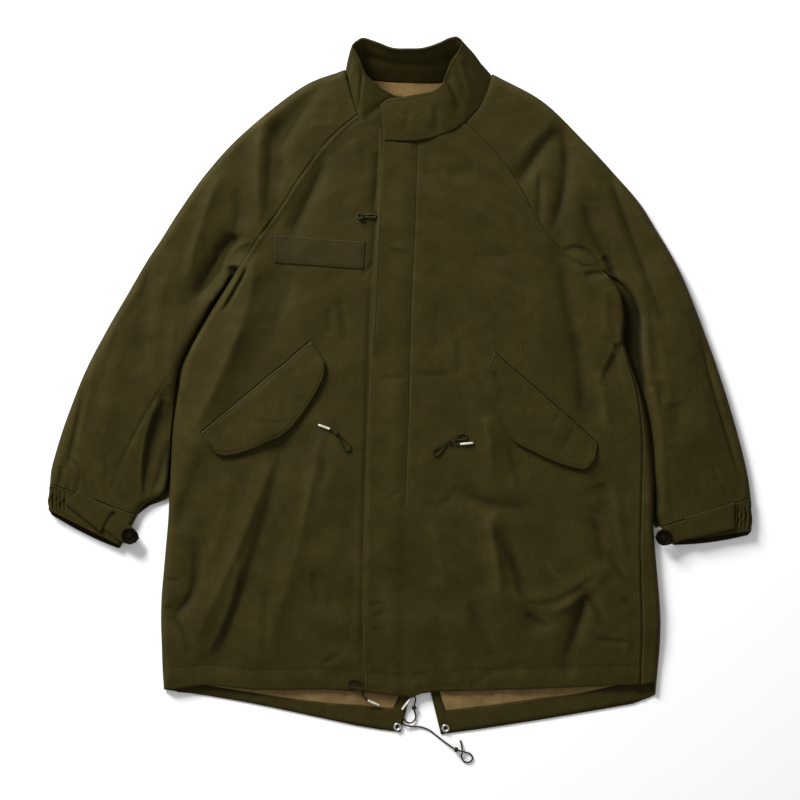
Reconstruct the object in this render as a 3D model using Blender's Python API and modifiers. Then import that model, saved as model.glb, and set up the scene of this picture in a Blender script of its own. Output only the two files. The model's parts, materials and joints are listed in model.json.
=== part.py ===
"""Fishtail parka laid on its back: sewn cloth panels of one wall, in metres, +Z up.
Tables are in millimetres. x runs to the wearer's left, y to the collar, z up from the floor."""

import math

import bmesh
import bpy
import numpy as np
from mathutils import Vector
from mathutils.bvhtree import BVHTree

for old in list(bpy.data.objects):
    bpy.data.objects.remove(old, do_unlink=True)

MM = 0.001
SHELL = 1.5  # shell cloth, seams pressed in
LINING = 1.0
SEAM = 0.3  # gap between two pieces at a seam
SIDE_Z = 4.0  # height of the side seams above the floor
ROUND = 10.0  # how far the body's side takes to roll over
ROUND_SLEEVE = 13.0
ROUND_UNDER = 4.0
BODY_H = 16.0  # top of the closed body above the floor
HEM_H = 10.5  # top of the front at its open hem
SLEEVE_H = 19.0
CUFF_H = 13.0
OPEN_HEM = 110.0  # how far up from the hem the front takes to reach its full height
OPEN_FOLD = 0.35  # share of the folds' height left at the open hem
CUFF_REACH = 110.0  # how far up from the cuff the sleeve takes to reach its full height
CUFF_Y = -185.0
CUFF_FOLD = 0.25  # share of the folds' height left at the cuff
SWELL_Y = 190.0  # the sleeve stands over the body's height below this
SWELL_REACH = 150.0
EDGE_START = 0.012  # step past the very edge, so that the panels of a seam stay apart
UNDER_START = 0.04
ORIGIN_SHIFT = (0.0, 3.2, 0.0)


def material(name, colour, rough=0.9, metal=0.0):
    mat = bpy.data.materials.new(name)
    mat.use_nodes = True
    bsdf = mat.node_tree.nodes["Principled BSDF"]
    bsdf.inputs["Base Color"].default_value = (*colour, 1.0)
    bsdf.inputs["Roughness"].default_value = rough
    bsdf.inputs["Metallic"].default_value = metal
    return mat


OLIVE = (0.036, 0.028, 0.009)
OLIVE_TAPE = (0.045, 0.035, 0.013)
BEIGE = (0.165, 0.105, 0.041)
CORD = (0.03, 0.026, 0.014)
BUTTON = (0.008, 0.006, 0.004)
SILVER = (0.55, 0.55, 0.52)
IVORY = (0.6, 0.57, 0.48)

# ---------------------------------------------------------------- body edges
# One row a station from hem to neck, the same stations on both sides. Rows 0 to 17 are the side
# seam, 17 is the underarm, 17 to 23 the raglan seam. roll: 1 where the side rolls over to the back.
# wrap: how far the back comes round onto the top before the side seam.
#              right_x right_y  left_x left_y  wrap  centre_y roll
BODY_ROWS = ((-330, -423,   357, -417,  22, -434, 1.0),
             (-332, -392,   360, -388,  24, -398, 1.0),
             (-333, -360,   363, -358,  26, -365, 1.0),
             (-334, -326,   364, -325,  27, -330, 1.0),
             (-333, -292,   362, -292,  26, -295, 1.0),
             (-330, -258,   359, -258,  24, -260, 1.0),
             (-327, -223,   356, -223,  22, -225, 1.0),
             (-324, -188,   354, -188,  19, -190, 1.0),
             (-322, -150,   354, -150,  18, -152, 1.0),
             (-320, -110,   352, -110,  15, -112, 1.0),
             (-318,  -70,   349,  -72,  12,  -72, 1.0),
             (-314,  -34,   343,  -36,   9,  -36, 1.0),
             (-310,   -2,   335,   -4,   6,   -2, 1.0),
             (-304,   30,   323,   30,   3,   32, 1.0),
             (-285,   68,   313,   66,   1,   66, 1.0),
             (-262,  107,   314,  100,   0,  100, 1.0),
             (-240,  141,   305,  135,   0,  132, 0.7),
             (-219,  173,   277,  165,   0,  165, 0.0),
             (-196,  208,   250,  172,   0,  197, 0.0),
             (-168,  246,   221,  194,   0,  230, 0.0),
             (-138,  293,   192,  232,   0,  268, 0.0),
             (-105,  336,   161,  289,   0,  300, 0.0),
             ( -82,  359,   126,  333,   0,  322, 0.0),
             ( -60,  376,    90,  367,   0,  342, 0.0))
UNDERARM = 17
NECK = 23
# back raglan seams and back neck, rows 17 to 23
#               right_x right_y left_x left_y centre_y
BACK_YOKE = ((-219, 173,  277, 165,  168),
             (-190, 217,  245, 205,  210),
             (-160, 262,  212, 250,  255),
             (-130, 306,  178, 296,  300),
             (-100, 348,  145, 340,  345),
             ( -72, 388,  112, 384,  388),
             ( -46, 427,   82, 425,  424))

# ---------------------------------------------------------------- sleeve edges
# One row a station from cuff to neck; the inner edge joins the body's raglan rows at row 11.
#               outer_x outer_y inner_x inner_y
SLEEVE_RIGHT = ((-489, -135, -367, -180),
                (-487, -116, -355, -165),
                (-480,  -90, -328, -147),
                (-470,  -58, -323, -110),
                (-458,  -25, -321,  -70),
                (-445,    8, -317,  -34),
                (-431,   38, -313,   -2),
                (-415,   68, -307,   31),
                (-400,   95, -288,   70),
                (-384,  122, -265,  109),
                (-368,  150, -242,  143),
                (-352,  177, -219,  173),
                (-334,  204, -196,  208),
                (-308,  245, -168,  246),
                (-270,  298, -138,  293),
                (-219,  353, -105,  336),
                (-138,  417,  -82,  359),
                ( -80,  441,  -60,  376))
SLEEVE_LEFT = ((490, -155,  364, -196),
               (487, -132,  358, -180),
               (481, -103,  358, -150),
               (472,  -68,  356, -110),
               (462,  -33,  353,  -72),
               (451,    2,  347,  -36),
               (441,   32,  339,   -4),
               (430,   62,  334,   30),
               (419,   92,  332,   66),
               (407,  123,  330,  100),
               (392,  158,  313,  139),
               (375,  190,  277,  165),
               (358,  218,  250,  172),
               (335,  255,  221,  194),
               (305,  290,  192,  232),
               (258,  341,  161,  289),
               (200,  397,  126,  333),
               (133,  434,   90,  367))
SLEEVE_UNDERARM = 11

# ---------------------------------------------------------------- centre front
# placket edges down the front; the zip line runs between them
#          y   right_edge left_edge
PLACKET = ((-440, -48,   7),
           (-300, -53,   7),
           (-166, -50,   8),
           ( -47, -45,  13),
           ( 120, -36,  17),
           ( 218, -31,  22),
           ( 345, -29,  26))
PLACKET_SLANT = 0.4  # rows by which its top edge drops at the free side
# lower edge of the closed fronts and of the back with its tails
#          x    front_y back_y
HEM = ((-335, -423, -424),
       (-257, -425, -435),
       (-196, -429, -446),
       (-140, -427, -458),
       ( -52, -431, -477),
       (  -6, -435, -484),
       (  56, -427, -487.5),
       ( 112, -425, -480),
       ( 196, -422, -467),
       ( 279, -419, -453),
       ( 340, -416, -442),
       ( 360, -412, -430))
# front neck seam
#             x    y
FRONT_NECK = ((-60, 376),
              (-31, 356),
              ( -6, 342),
              ( 22, 342),
              ( 56, 352),
              ( 90, 367))

# ---------------------------------------------------------------- back
# the vent is a slit that opens downwards between the two tails
VENT_X = 29.0
VENT_TOP = 2  # row
VENT_TOP_Y = -379.0
VENT_SLOPE = 0.25
VENT_CLOSED = 1.5  # half width of the strip above the slit
# how much of the tails' curve each row takes, hem row first
TAIL_BOW = (1.0, 0.68, 0.32, 0.12, 0.0)

# ---------------------------------------------------------------- collar
# one row a station round the neck, from the wearer's right front end, under the overlap, round the
# back to the left front end; base at the neck seam and top edge, both on the outer cloth
#            base_x base_y base_z top_x top_y top_z
COLLAR = ((  -6, 344, 15.0,   14, 402, 14.5),
          ( -19, 352, 15.2,    3, 403, 16.0),
          ( -32, 359, 15.8,   -7, 404, 19.0),
          ( -46, 367, 16.5,  -24, 412, 24.0),
          ( -55, 373, 16.5,  -36, 421, 29.0),
          ( -60, 384, 16.5,  -47, 431, 34.0),
          ( -66, 406, 16.0,  -55, 448, 40.0),
          ( -71, 426, 14.0,  -62, 461, 43.0),
          ( -76, 438,  9.5,  -66, 469, 43.0),
          ( -70, 441,  5.0,  -60, 476, 41.0),
          ( -53, 435,  2.6,  -50, 480, 39.0),
          ( -32, 430,  2.0,  -30, 474, 38.0),
          ( -10, 428,  2.0,  -10, 467, 37.0),
          (  13, 427,  2.0,   12, 466, 37.0),
          (  35, 426,  2.0,   33, 467, 37.0),
          (  57, 427,  2.0,   54, 474, 38.0),
          (  84, 431,  2.6,   68, 480, 40.0),
          ( 113, 436,  4.5,   79, 481, 42.0),
          ( 128, 432,  9.5,   85, 474, 43.0),
          ( 124, 418, 14.0,   81, 462, 42.0),
          ( 115, 399, 16.5,   71, 448, 39.0),
          ( 104, 384, 17.0,   64, 432, 35.0),
          (  90, 370, 17.3,   58, 418, 31.0),
          (  74, 359, 17.6,   47, 409, 27.5),
          (  56, 352, 18.0,   33, 406, 25.5),
          (  39, 346, 18.3,   15, 403, 24.5),
          (  19, 343, 18.8,   -1, 400, 24.0),
          (  -1, 343, 19.4,  -16, 398, 23.5),
          ( -22, 344, 19.8,  -27, 390, 23.0))
COLLAR_WALL = 1.2
COLLAR_GAP = 0.6
COLLAR_CELLS = 3
NECK_BOW_LEFT = 6.0  # how far the left sleeve's neck edge is hollowed
BACK_NECK_HOLLOW = 2.0

# ---------------------------------------------------------------- pieces on the panels
# pocket flaps: stations along the slanted top edge, top edge and free edge
#                 top_x top_y free_x free_y
FLAP_RIGHT = ((-276,  -64, -264,  -82),
              (-267,  -57, -256,  -93),
              (-250,  -43, -242,  -97),
              (-228,  -24, -217,  -92),
              (-206,   -6, -189,  -81),
              (-184,   13, -161,  -67),
              (-161,   31, -139,  -43),
              (-142,   48, -120,  -15),
              (-131,   57, -106,   14),
              (-124,   63, -105,   33))
FLAP_LEFT = (( 131,   47,  119,   15),
             ( 138,   40,  119,    3),
             ( 150,   29,  129,  -28),
             ( 167,   15,  144,  -55),
             ( 184,    0,  157,  -76),
             ( 203,  -17,  184,  -91),
             ( 225,  -36,  214, -105),
             ( 248,  -56,  242, -114),
             ( 264,  -71,  258, -115),
             ( 275,  -81,  270, -102))
TAPE = ((-175, 210, -175, 171),
        (-133, 207, -134, 168),
        ( -90, 203,  -92, 165),
        ( -48, 200,  -51, 162))
FLAP_WALL = 2.0  # two layers, turned
TAPE_WALL = 1.0
CLEAR = 0.35

# facing round each tail: outer and inner edge, from the side to the vent and up it
#                outer_x outer_y inner_x inner_y
FACING_RIGHT = ((-312, -428, -312, -412),
                (-257, -433, -257, -421),
                (-196, -444, -200, -430),
                (-140, -456, -145, -439),
                ( -96, -466,  -98, -445),
                ( -52, -475,  -52, -447.5),
                (   1, -483,   -9, -452),
                ( 8.5, -455, -7.4, -448),
                (  14, -432, -0.5, -430.5),
                (  24, -392,   15, -392))
FACING_LEFT = (( 343, -438,  322, -416),
               ( 300, -446,  298, -420),
               ( 250, -455,  240, -432),
               ( 196, -465,  192, -438),
               ( 140, -473,  138, -446),
               (  98, -479,   98, -451),
               (57.5, -485,   64, -455),
               (49.5, -455, 61.7, -448),
               (  44, -432, 55.7, -430),
               (  34, -392,   43, -392))
CORNER = 6  # the row at the vent's corner
FACING_WALL = 1.1
LINING_TOP_Y = -392.0
# lining seen in the neck: lower and upper edge on the back
LINING_NECK = ((-52, 352, -38, 424),
               ( -5, 348,  -8, 423),
               ( 40, 348,  34, 422.5),
               ( 92, 356,  74, 422.5))

# ---------------------------------------------------------------- cuffs
#              sleeve end outer, inner; mouth outer, inner
CUFF_RIGHT = ((-489, -136), (-367, -181), (-491, -172), (-390, -223))
CUFF_LEFT = ((490, -156), (364, -197), (491, -202), (379, -217))
CUFF_WALL = 2.0
CUFF_EDGE = 7.0
CUFF_AROUND = 18
MOUTH_DROP = 4.0  # the under layer reaches further at the mouth
#               upper_x upper_y lower_x lower_y, along the tab to its round end
TAB_RIGHT = ((-449, -147, -466, -163),
             (-424, -159, -442, -183),
             (-399, -172, -417, -203),
             (-396, -181, -410, -201),
             (-382, -190, -397, -211),
             (-372, -197, -386, -218),
             (-365, -205, -376, -221),
             (-363, -212, -368, -218))
TAB_LEFT = ((465, -162, 466, -198),
            (430, -173, 434, -206),
            (396, -183, 402, -213),
            (391, -189, 395, -214),
            (377, -193, 382, -219),
            (367, -197, 371, -222),
            (358, -203, 361, -220),
            (355, -210, 356, -214))
BUTTON_AT = ((-376.5, -208.5), (367.0, -211.0))
BUTTON_SECTION = ((0, 0), (10, 0), (11, 1), (11, 2.2), (10, 3), (8.6, 3), (7.6, 2.2), (0, 2.2))
SNAP_AT = ((-3.6, -476.5), (63.7, -478.5))
SNAP_SECTION = ((0, 0), (5.6, 0), (5.6, 0.8), (4.7, 1.6), (3.3, 1.6), (2.6, 0.7), (0, 0.7))

# ---------------------------------------------------------------- drawcords
CORD_D = 2.2
PULL_D = 2.8
AGLET_D = 3.4
# routes from where the cord leaves the cloth; the third value is the height of its middle over
# the front under it, or over the floor where it lies off the front
WAIST_RIGHT = ((-84.2, -68.8, 1.6), (-79.2, -72.8, 1.8), (-73.5, -78.5, 1.8), (-69.8, -83.2, 1.8),
               (-68.9, -86.5, 1.8), (-70.6, -89.4, 1.8), (-73.9, -90.3, 1.8), (-76.8, -88.5, 1.8),
               (-79.8, -83.3, 2.2), (-83.3, -75.9, 3.2), (-88.5, -65.8, 4.1), (-93.0, -62.4, 3.0),
               (-96.7, -60.4, 2.4))
WAIST_LEFT = ((64.7, -80.6, 1.6), (61.2, -86.4, 1.8), (56.1, -92.7, 1.8), (53.2, -95.5, 1.8),
              (49.9, -96.7, 1.8), (46.7, -95.2, 1.8), (45.5, -91.9, 1.8), (47.0, -88.7, 1.8),
              (52.0, -85.4, 2.2), (58.8, -80.9, 3.2), (67.3, -76.0, 4.1), (75.5, -71.0, 3.2),
              (82.5, -67.8, 2.0), (88.3, -66.8, 1.8), (92.4, -68.6, 1.8), (92.9, -72.2, 1.8),
              (90.0, -74.6, 1.8), (85.0, -75.0, 1.8), (79.8, -74.8, 1.8), (76.0, -76.2, 1.8),
              (75.6, -79.8, 1.8), (78.6, -81.6, 1.9), (83.0, -81.1, 2.2))
HEM_RIGHT = ((-57.0, -411.5, 1.6), (-62.0, -409.0, 1.8), (-68.0, -409.2, 1.8),
             (-72.4, -413.0, 1.8), (-71.6, -417.6, 1.8), (-66.8, -419.8, 2.4),
             (-60.8, -420.2, 3.5), (-55.6, -423.2, 4.1), (-52.6, -428.2, 3.8),
             (-50.2, -433.8, 12.7), (-46.2, -437.8, 9.6))
TAIL_A = ((5.0, -464.5, 4.3), (9.5, -469.6, 4.5), (15.5, -471.0, 3.6), (21.0, -467.0, 1.8),
          (22.0, -461.0, 2.0), (20.6, -455.5, 3.2), (19.8, -450.0, 4.0), (20.4, -444.5, 4.6),
          (21.8, -438.8, 5.2), (20.8, -434.6, 5.4), (17.4, -433.4, 5.4), (14.6, -436.2, 5.4))
TAIL_B = ((1.2, -468.6, 4.35), (7.0, -473.8, 4.2), (17.0, -476.2, 2.4), (28.0, -477.0, 1.3),
          (40.0, -481.0, 1.3), (51.5, -489.6, 1.3), (66.0, -500.5, 2.2), (78.4, -508.2, 3.9),
          (88.5, -511.5, 2.4), (98.0, -514.6, 1.5), (101.5, -521.0, 1.4), (96.5, -526.4, 1.4),
          (89.0, -525.0, 1.4), (86.0, -519.0, 1.5), (87.0, -511.8, 4.4), (86.2, -503.0, 2.2),
          (84.4, -495.8, 1.3))
CHEST_KNOT = ((-55.7, 236.2, 4.0), (5.0, 4.4, 3.6))
CHEST = ((-50.6, 237.9, 2.2), (-43.0, 238.2, 2.0), (-35.6, 238.3, 1.9), (-33.4, 236.4, 1.9),
         (-35.6, 234.5, 1.9), (-43.0, 234.5, 2.0), (-50.6, 234.7, 2.2))
AGLETS = {"waist_tip_right": ((-97.6, -60.0), (-113.7, -54.0), 2.4),
          "waist_tip_left": ((83.7, -81.0), (101.9, -79.3), 2.4)}
# on the tails: ends with their own heights
TAIL_TIPS = {"hem_tip_right": ((-44.8, -438.9, 8.6), (-28.4, -446.6, 5.2)),
             "tail_tip": ((13.8, -438.0, 5.3), (2.6, -452.4, 5.2))}
KNOT_SHAPE = (2.55, 1.1)  # ring of cord round the cord: its middle radius and its own radius

# ---------------------------------------------------------------- folds
# each runs through three points; width is half the fold's, height is up for a ridge
#          x0    y0    x1    y1    x2    y2  width height
FOLDS = ((-184, -131, -223, -250, -279, -356, 24,  5.0),
         (-169,  -90, -209, -257, -261, -390, 18, -4.0),
         (-221,   92, -272,  -29, -306, -150, 22,  3.5),
         ( -99, -102, -151, -241, -179, -356, 22,  3.0),
         (-106,  314, -130,  260, -151,  211, 18, -3.0),
         (-163,  163, -172,  120, -181,   73, 16, -2.5),
         (-215,  163, -229,  100, -242,   36, 16,  2.5),
         (-283, -226, -289, -290, -318, -323, 14, -3.0),
         ( 223,  174,  240,   94,  261,  -32, 18, -4.0),
         (  97, -151,  124, -163,  175, -169, 15, -3.0),
         ( 124, -189,  132, -241,  137, -290, 14,  3.0),
         ( 145, -216,  169, -271,  188, -330, 18, -4.0),
         ( 175, -300,  212, -300,  279, -261, 16,  3.5),
         ( 257, -293,  245, -334,  232, -391, 14, -5.0),
         (  25, -276,   99, -321,  140, -393, 26, -3.5),
         ( 118,  -14,  124,  -77,  126, -132, 22,  2.5),
         ( 272, -188,  277, -230,  289, -265, 14, -2.5),
         (-229,  193, -257,  159, -284,  124, 18, -6.0),
         (-190,  375, -194,  300, -197,  214, 16,  3.5),
         (-172,  358, -175,  300, -178,  224, 14, -3.0),
         (-442,   -1, -456,  -60, -466, -114, 13, -3.0),
         (-316,  -30, -330,  -80, -337, -130, 20, -8.0),
         (-103,  433, -139,  390, -169,  354, 14, -3.0),
         ( 226,  367,  227,  299,  221,  196, 16, -4.0),
         ( 218,  350,  195,  323,  169,  296, 14, -2.5),
         ( 263,  254,  282,  214,  303,  151, 16, -4.0),
         ( 290,  299,  321,  208,  363,  102, 15, -2.5),
         ( 411,   98,  434,    8,  479, -134, 12, -2.0),
         ( 330,   60,  350,   20,  366,  -60, 18,  2.5),
         (-390,  120, -400,   40, -410,  -60, 26,  3.0),
         ( 380,  150,  400,   60,  412,  -60, 26,  3.0))


def folds(x, y):
    rise = 0.0
    here = np.array([x, y], float)
    for x0, y0, x1, y1, x2, y2, width, height in FOLDS:
        if min(x0, x1, x2) - 3 * width > x or max(x0, x1, x2) + 3 * width < x:
            continue
        near = 1e9
        for a, b in (((x0, y0), (x1, y1)), ((x1, y1), (x2, y2))):
            a, b = np.array(a, float), np.array(b, float)
            along = np.clip(np.dot(here - a, b - a) / np.dot(b - a, b - a), 0.0, 1.0)
            near = min(near, np.linalg.norm(here - a - along * (b - a)))
        rise += height * math.exp(-((near / width) ** 2))
    return rise


def ease(t):
    t = min(max(t, 0.0), 1.0)
    return t * t * (3 - 2 * t)


def body_top(x, y):
    hem = np.interp(x, [r[0] for r in HEM], [r[1] for r in HEM])
    full = ease((y - hem) / OPEN_HEM)
    return HEM_H + (BODY_H - HEM_H) * full + folds(x, y) * (OPEN_FOLD + (1 - OPEN_FOLD) * full)


def sleeve_top(x, y):
    swell = (SLEEVE_H - BODY_H) * ease((SWELL_Y - y) / SWELL_REACH)
    full = ease((y - CUFF_Y) / CUFF_REACH)
    base = BODY_H + swell
    return CUFF_H + (base - CUFF_H) * full + folds(x, y) * (CUFF_FOLD + (1 - CUFF_FOLD) * full)


# ---------------------------------------------------------------- table reading
def smooth(rows, v, column):
    """A column of a station table read between its rows with a soft curve through them."""
    last = len(rows) - 1
    i = int(min(max(math.floor(v), 0), last - 1))
    t = v - i
    p = [rows[min(max(i + k, 0), last)][column] for k in (-1, 0, 1, 2)]
    if i == 0:
        p[0] = 2 * p[1] - p[2]
    if i == last - 1:
        p[3] = 2 * p[2] - p[1]
    return 0.5 * (2 * p[1] + (p[2] - p[0]) * t + (2 * p[0] - 5 * p[1] + 4 * p[2] - p[3]) * t * t
                  + (3 * p[1] - p[0] - 3 * p[2] + p[3]) * t ** 3)


def column(rows, key, value, which):
    return float(np.interp(value, [r[key] for r in rows], [r[which] for r in rows]))


def body_edge(v, left):
    k = 2 if left else 0
    return np.array([smooth(BODY_ROWS, v, k), smooth(BODY_ROWS, v, k + 1)])


def roll(v):
    return float(np.interp(v, range(len(BODY_ROWS)), [r[6] for r in BODY_ROWS]))


def rolled(a, top, much, radius):
    """Distance in from the edge and height at a steps round it: -1 under, 0 at the edge, 1 on top."""
    if a > 1:
        return radius + (a - 1) * radius * math.pi / 2, top
    turn = a * math.pi / 2
    if a >= 0:
        return radius * (1 - math.cos(turn)), top - much * (top - SIDE_Z) * (1 - math.sin(turn))
    return ROUND_UNDER * (1 - math.cos(turn)), much * SIDE_Z * (1 + math.sin(turn))


def seam_step(wrap):
    if wrap < ROUND:
        return math.acos(1 - wrap / ROUND) / (math.pi / 2)
    return 1 + (wrap - ROUND) / (ROUND * math.pi / 2)


# ---------------------------------------------------------------- surfaces
# a front panel's cells: round its side, flat up to the placket, under the placket
EDGE_CELLS = 3
FLAT_CELLS = 14
FRONT_COLUMNS = EDGE_CELLS + FLAT_CELLS + 1


def zip_line(y):
    return (column(PLACKET, 0, y, 1) + column(PLACKET, 0, y, 2)) / 2


def front_surface(left):
    sign = 1.0 if left else -1.0

    def at(c, v):
        edge = body_edge(v, left)
        mid_y = smooth(BODY_ROWS, v, 5)
        zip_x = zip_line(mid_y) + sign * SEAM / 2
        placket_x = column(PLACKET, 0, mid_y, 2 if left else 1)
        centre = np.array([zip_x, mid_y])
        length = np.linalg.norm(centre - edge)
        way = (centre - edge) / length
        start = EDGE_START + (seam_step(max(smooth(BODY_ROWS, v, 4), 0.0)) if left else 0.0)
        reach = abs(placket_x - edge[0]) / max(abs(way[0]), 0.2)
        radius = min(ROUND, reach / 4)
        if c <= EDGE_CELLS:
            a = start + c / EDGE_CELLS
            guess = edge + way * min(a, 1.0) * radius
            d, z = rolled(a, body_top(*guess), roll(v), radius)
            here = edge + way * d
        else:
            d0, _ = rolled(start + 1, BODY_H, 1.0, radius)
            if c <= EDGE_CELLS + FLAT_CELLS:
                d = d0 + (reach - d0) * (c - EDGE_CELLS) / FLAT_CELLS
            else:
                d = reach + (length - reach) * (c - EDGE_CELLS - FLAT_CELLS)
            here = edge + way * d
            z = None
        bow = ease(1 - v / 2.5)
        hem = column(HEM, 0, here[0], 1)
        row0 = body_edge(0, left)[1] + (BODY_ROWS[0][5] - body_edge(0, left)[1]) * (
            np.clip(d / length, 0, 1))
        here = np.array([here[0], here[1] + bow * (hem - row0)])
        neck_bow = ease((v - NECK + 2.0) / 2.0)
        if neck_bow > 0:
            neck = column(FRONT_NECK, 0, here[0], 1)
            top = body_edge(NECK, left)
            row23 = top[1] + (BODY_ROWS[NECK][5] - top[1]) * np.clip(d / length, 0, 1)
            here[1] += neck_bow * (neck - row23)
        if z is None:
            z = body_top(*here)
        return np.array([here[0], here[1], z])

    return at


SLEEVE_EDGE = 3
SLEEVE_FLAT = 8
SLEEVE_COLUMNS = 2 * SLEEVE_EDGE + SLEEVE_FLAT


def sleeve_edges(v, left, under):
    table = SLEEVE_LEFT if left else SLEEVE_RIGHT
    outer = np.array([smooth(table, v, 0), smooth(table, v, 1)])
    if v < SLEEVE_UNDERARM:
        inner = np.array([smooth(table, v, 2), smooth(table, v, 3)])
    elif under:
        k = 2 if left else 0
        w = v - SLEEVE_UNDERARM
        inner = np.array([smooth(BACK_YOKE, w, k), smooth(BACK_YOKE, w, k + 1)])
    else:
        inner = body_edge(v + UNDERARM - SLEEVE_UNDERARM, left)
    way = (inner - outer) / np.linalg.norm(inner - outer)
    return outer, inner - way * SEAM * (0.6 if v > SLEEVE_UNDERARM - 2 else 0.0), way


def sleeve_surface(left, under=False):
    def at(c, v):
        outer, inner, way = sleeve_edges(v, left, under)
        width = np.linalg.norm(inner - outer)
        inner_roll = float(np.interp(v, (SLEEVE_UNDERARM - 2, SLEEVE_UNDERARM - 1,
                                         SLEEVE_UNDERARM), (1.0, 0.7, 0.0)))
        first, last = SLEEVE_EDGE, SLEEVE_EDGE + SLEEVE_FLAT
        radius = min(ROUND_SLEEVE, width / 5)
        step = -1.0 if under else 1.0
        rim = ROUND_UNDER if under else radius
        start = UNDER_START if under else EDGE_START
        if c < first:
            a = start + (1 - start) * c / SLEEVE_EDGE
            here = outer + way * rim * a
            top = sleeve_top(*here)
            d, z = rolled(step * a, top, 1.0, radius)
            here = outer + way * d
        elif c > last:
            a = start + (1 - start) * (SLEEVE_COLUMNS - c) / SLEEVE_EDGE
            here = inner - way * rim * a
            top = sleeve_top(*here)
            d, z = rolled(step * a, top, inner_roll, radius)
            here = inner - way * d
        else:
            d = rim + (width - 2 * rim) * (c - first) / SLEEVE_FLAT
            here = outer + way * d
            z = 0.0 if under else sleeve_top(*here)
        if left and v > NECK - UNDERARM + SLEEVE_UNDERARM - 1:
            bow = NECK_BOW_LEFT * ease(v - (NECK - UNDERARM + SLEEVE_UNDERARM - 1))
            side = np.array([-way[1], way[0]]) * (1 if way[0] < 0 else -1)
            across = min(np.linalg.norm(here - outer) / width, 1.0)
            here = here + side * bow * math.sin(math.pi * across)
        return np.array([here[0], here[1], z])

    return at


def back_edge(v, left):
    if v <= UNDERARM:
        return body_edge(v, left)
    k = 2 if left else 0
    return np.array([smooth(BACK_YOKE, v - UNDERARM, k), smooth(BACK_YOKE, v - UNDERARM, k + 1)])


# the back's cells: up its right side, either side of the vent, round its left side onto the front
BACK_EDGE = 3
BACK_FLAT = 4
BACK_WRAP = 5
BACK_COLUMNS = BACK_EDGE + BACK_FLAT + 1 + BACK_FLAT + BACK_WRAP


def back_surface(c, v):
    """The back's outer face: its right side seam, the flat underside, and round its left side."""
    right, left = back_edge(v, False), back_edge(v, True)
    way = (left - right) / np.linalg.norm(left - right)
    first = BACK_EDGE
    vent_left, vent_right = first + BACK_FLAT, first + BACK_FLAT + 1
    last = vent_right + BACK_FLAT
    wrap = max(smooth(BODY_ROWS, v, 4), 0.0) if v < UNDERARM else 0.0
    z = 0.0
    if c < first:
        a = -UNDER_START - (1 - UNDER_START) * c / first
        d, z = rolled(a, BODY_H, roll(v), ROUND)
        here = right + way * d
    elif c > last:
        a = -1 + (seam_step(wrap) + 1 - UNDER_START) * (c - last) / BACK_WRAP
        guess = left - way * min(max(a, 0.0), 1.0) * ROUND
        top = body_top(*guess)
        d, z = rolled(a, top, roll(v), ROUND)
        here = left - way * d
        if a > 1:
            z = body_top(*here)
    else:
        lo, hi = right + way * ROUND_UNDER, left - way * ROUND_UNDER
        mid_y = lo[1] + (hi[1] - lo[1]) * (VENT_X - lo[0]) / (hi[0] - lo[0])
        mid_y += tail_bow(v) * (column(HEM, 0, VENT_X, 2) - hem_line(VENT_X))
        slit = VENT_CLOSED + VENT_SLOPE * max(VENT_TOP_Y - mid_y, 0.0)
        if c <= vent_left:
            f = (c - first) / BACK_FLAT
            x = lo[0] + (VENT_X - slit - lo[0]) * f
        elif c < vent_right:
            x = VENT_X + slit * (2 * (c - vent_left) - 1)
        else:
            f = (c - vent_right) / BACK_FLAT
            x = VENT_X + slit + (hi[0] - VENT_X - slit) * f
        here = np.array([x, lo[1] + (hi[1] - lo[1]) * (x - lo[0]) / (hi[0] - lo[0])])
    here = np.array([here[0], here[1] + tail_bow(v) * (column(HEM, 0, here[0], 2)
                                                       - hem_line(here[0]))])
    if v > NECK - 2:
        here[1] -= BACK_NECK_HOLLOW * ease(v - NECK + 1) * math.sin(
            math.pi * min(max((here[0] - right[0]) / (left[0] - right[0]), 0), 1))
    return np.array([here[0], here[1], z])


def tail_bow(v):
    return float(np.interp(v, range(len(TAIL_BOW)), TAIL_BOW))


def hem_line(x):
    a, b = body_edge(0, False), body_edge(0, True)
    return a[1] + (b[1] - a[1]) * min(max((x - a[0]) / (b[0] - a[0]), 0.0), 1.0)


def collar_surface(s, t):
    base = np.array([smooth(COLLAR, s, k) for k in (0, 1, 2)])
    top = np.array([smooth(COLLAR, s, k) for k in (3, 4, 5)])
    return base + (top - base) * (0.02 + 0.98 * t / COLLAR_CELLS)


def placket_surface(c, v):
    """The placket's points are the fronts' own, on either side of the zip line."""
    at = (columns_front[-2], columns_front[-1], columns_front[-1], columns_front[-2])
    fronts = (right_front, right_front, left_front, left_front)
    v -= PLACKET_SLANT * max(1 - c, 0.0) * ease(v - NECK + 2)
    i = min(int(max(c, 0)), 2)
    a, b = fronts[i](at[i], v), fronts[i + 1](at[i + 1], v)
    return a + (b - a) * (c - i)


def strip(rows, height):
    """A strip between two lines of a table: along its rows, and across in cells."""
    def at(s, t):
        a = np.array([smooth(rows, s, 0), smooth(rows, s, 1)])
        b = np.array([smooth(rows, s, 2), smooth(rows, s, 3)])
        here = a + (b - a) * t
        return np.array([here[0], here[1], height(*here)])

    return at


def straight_strip(rows, height):
    def at(s, t):
        k = [float(np.interp(s, range(len(rows)), [r[n] for r in rows])) for n in range(4)]
        x, y = k[0] + (k[2] - k[0]) * t, k[1] + (k[3] - k[1]) * t
        return np.array([x, y, height(x, y)])

    return at


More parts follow.
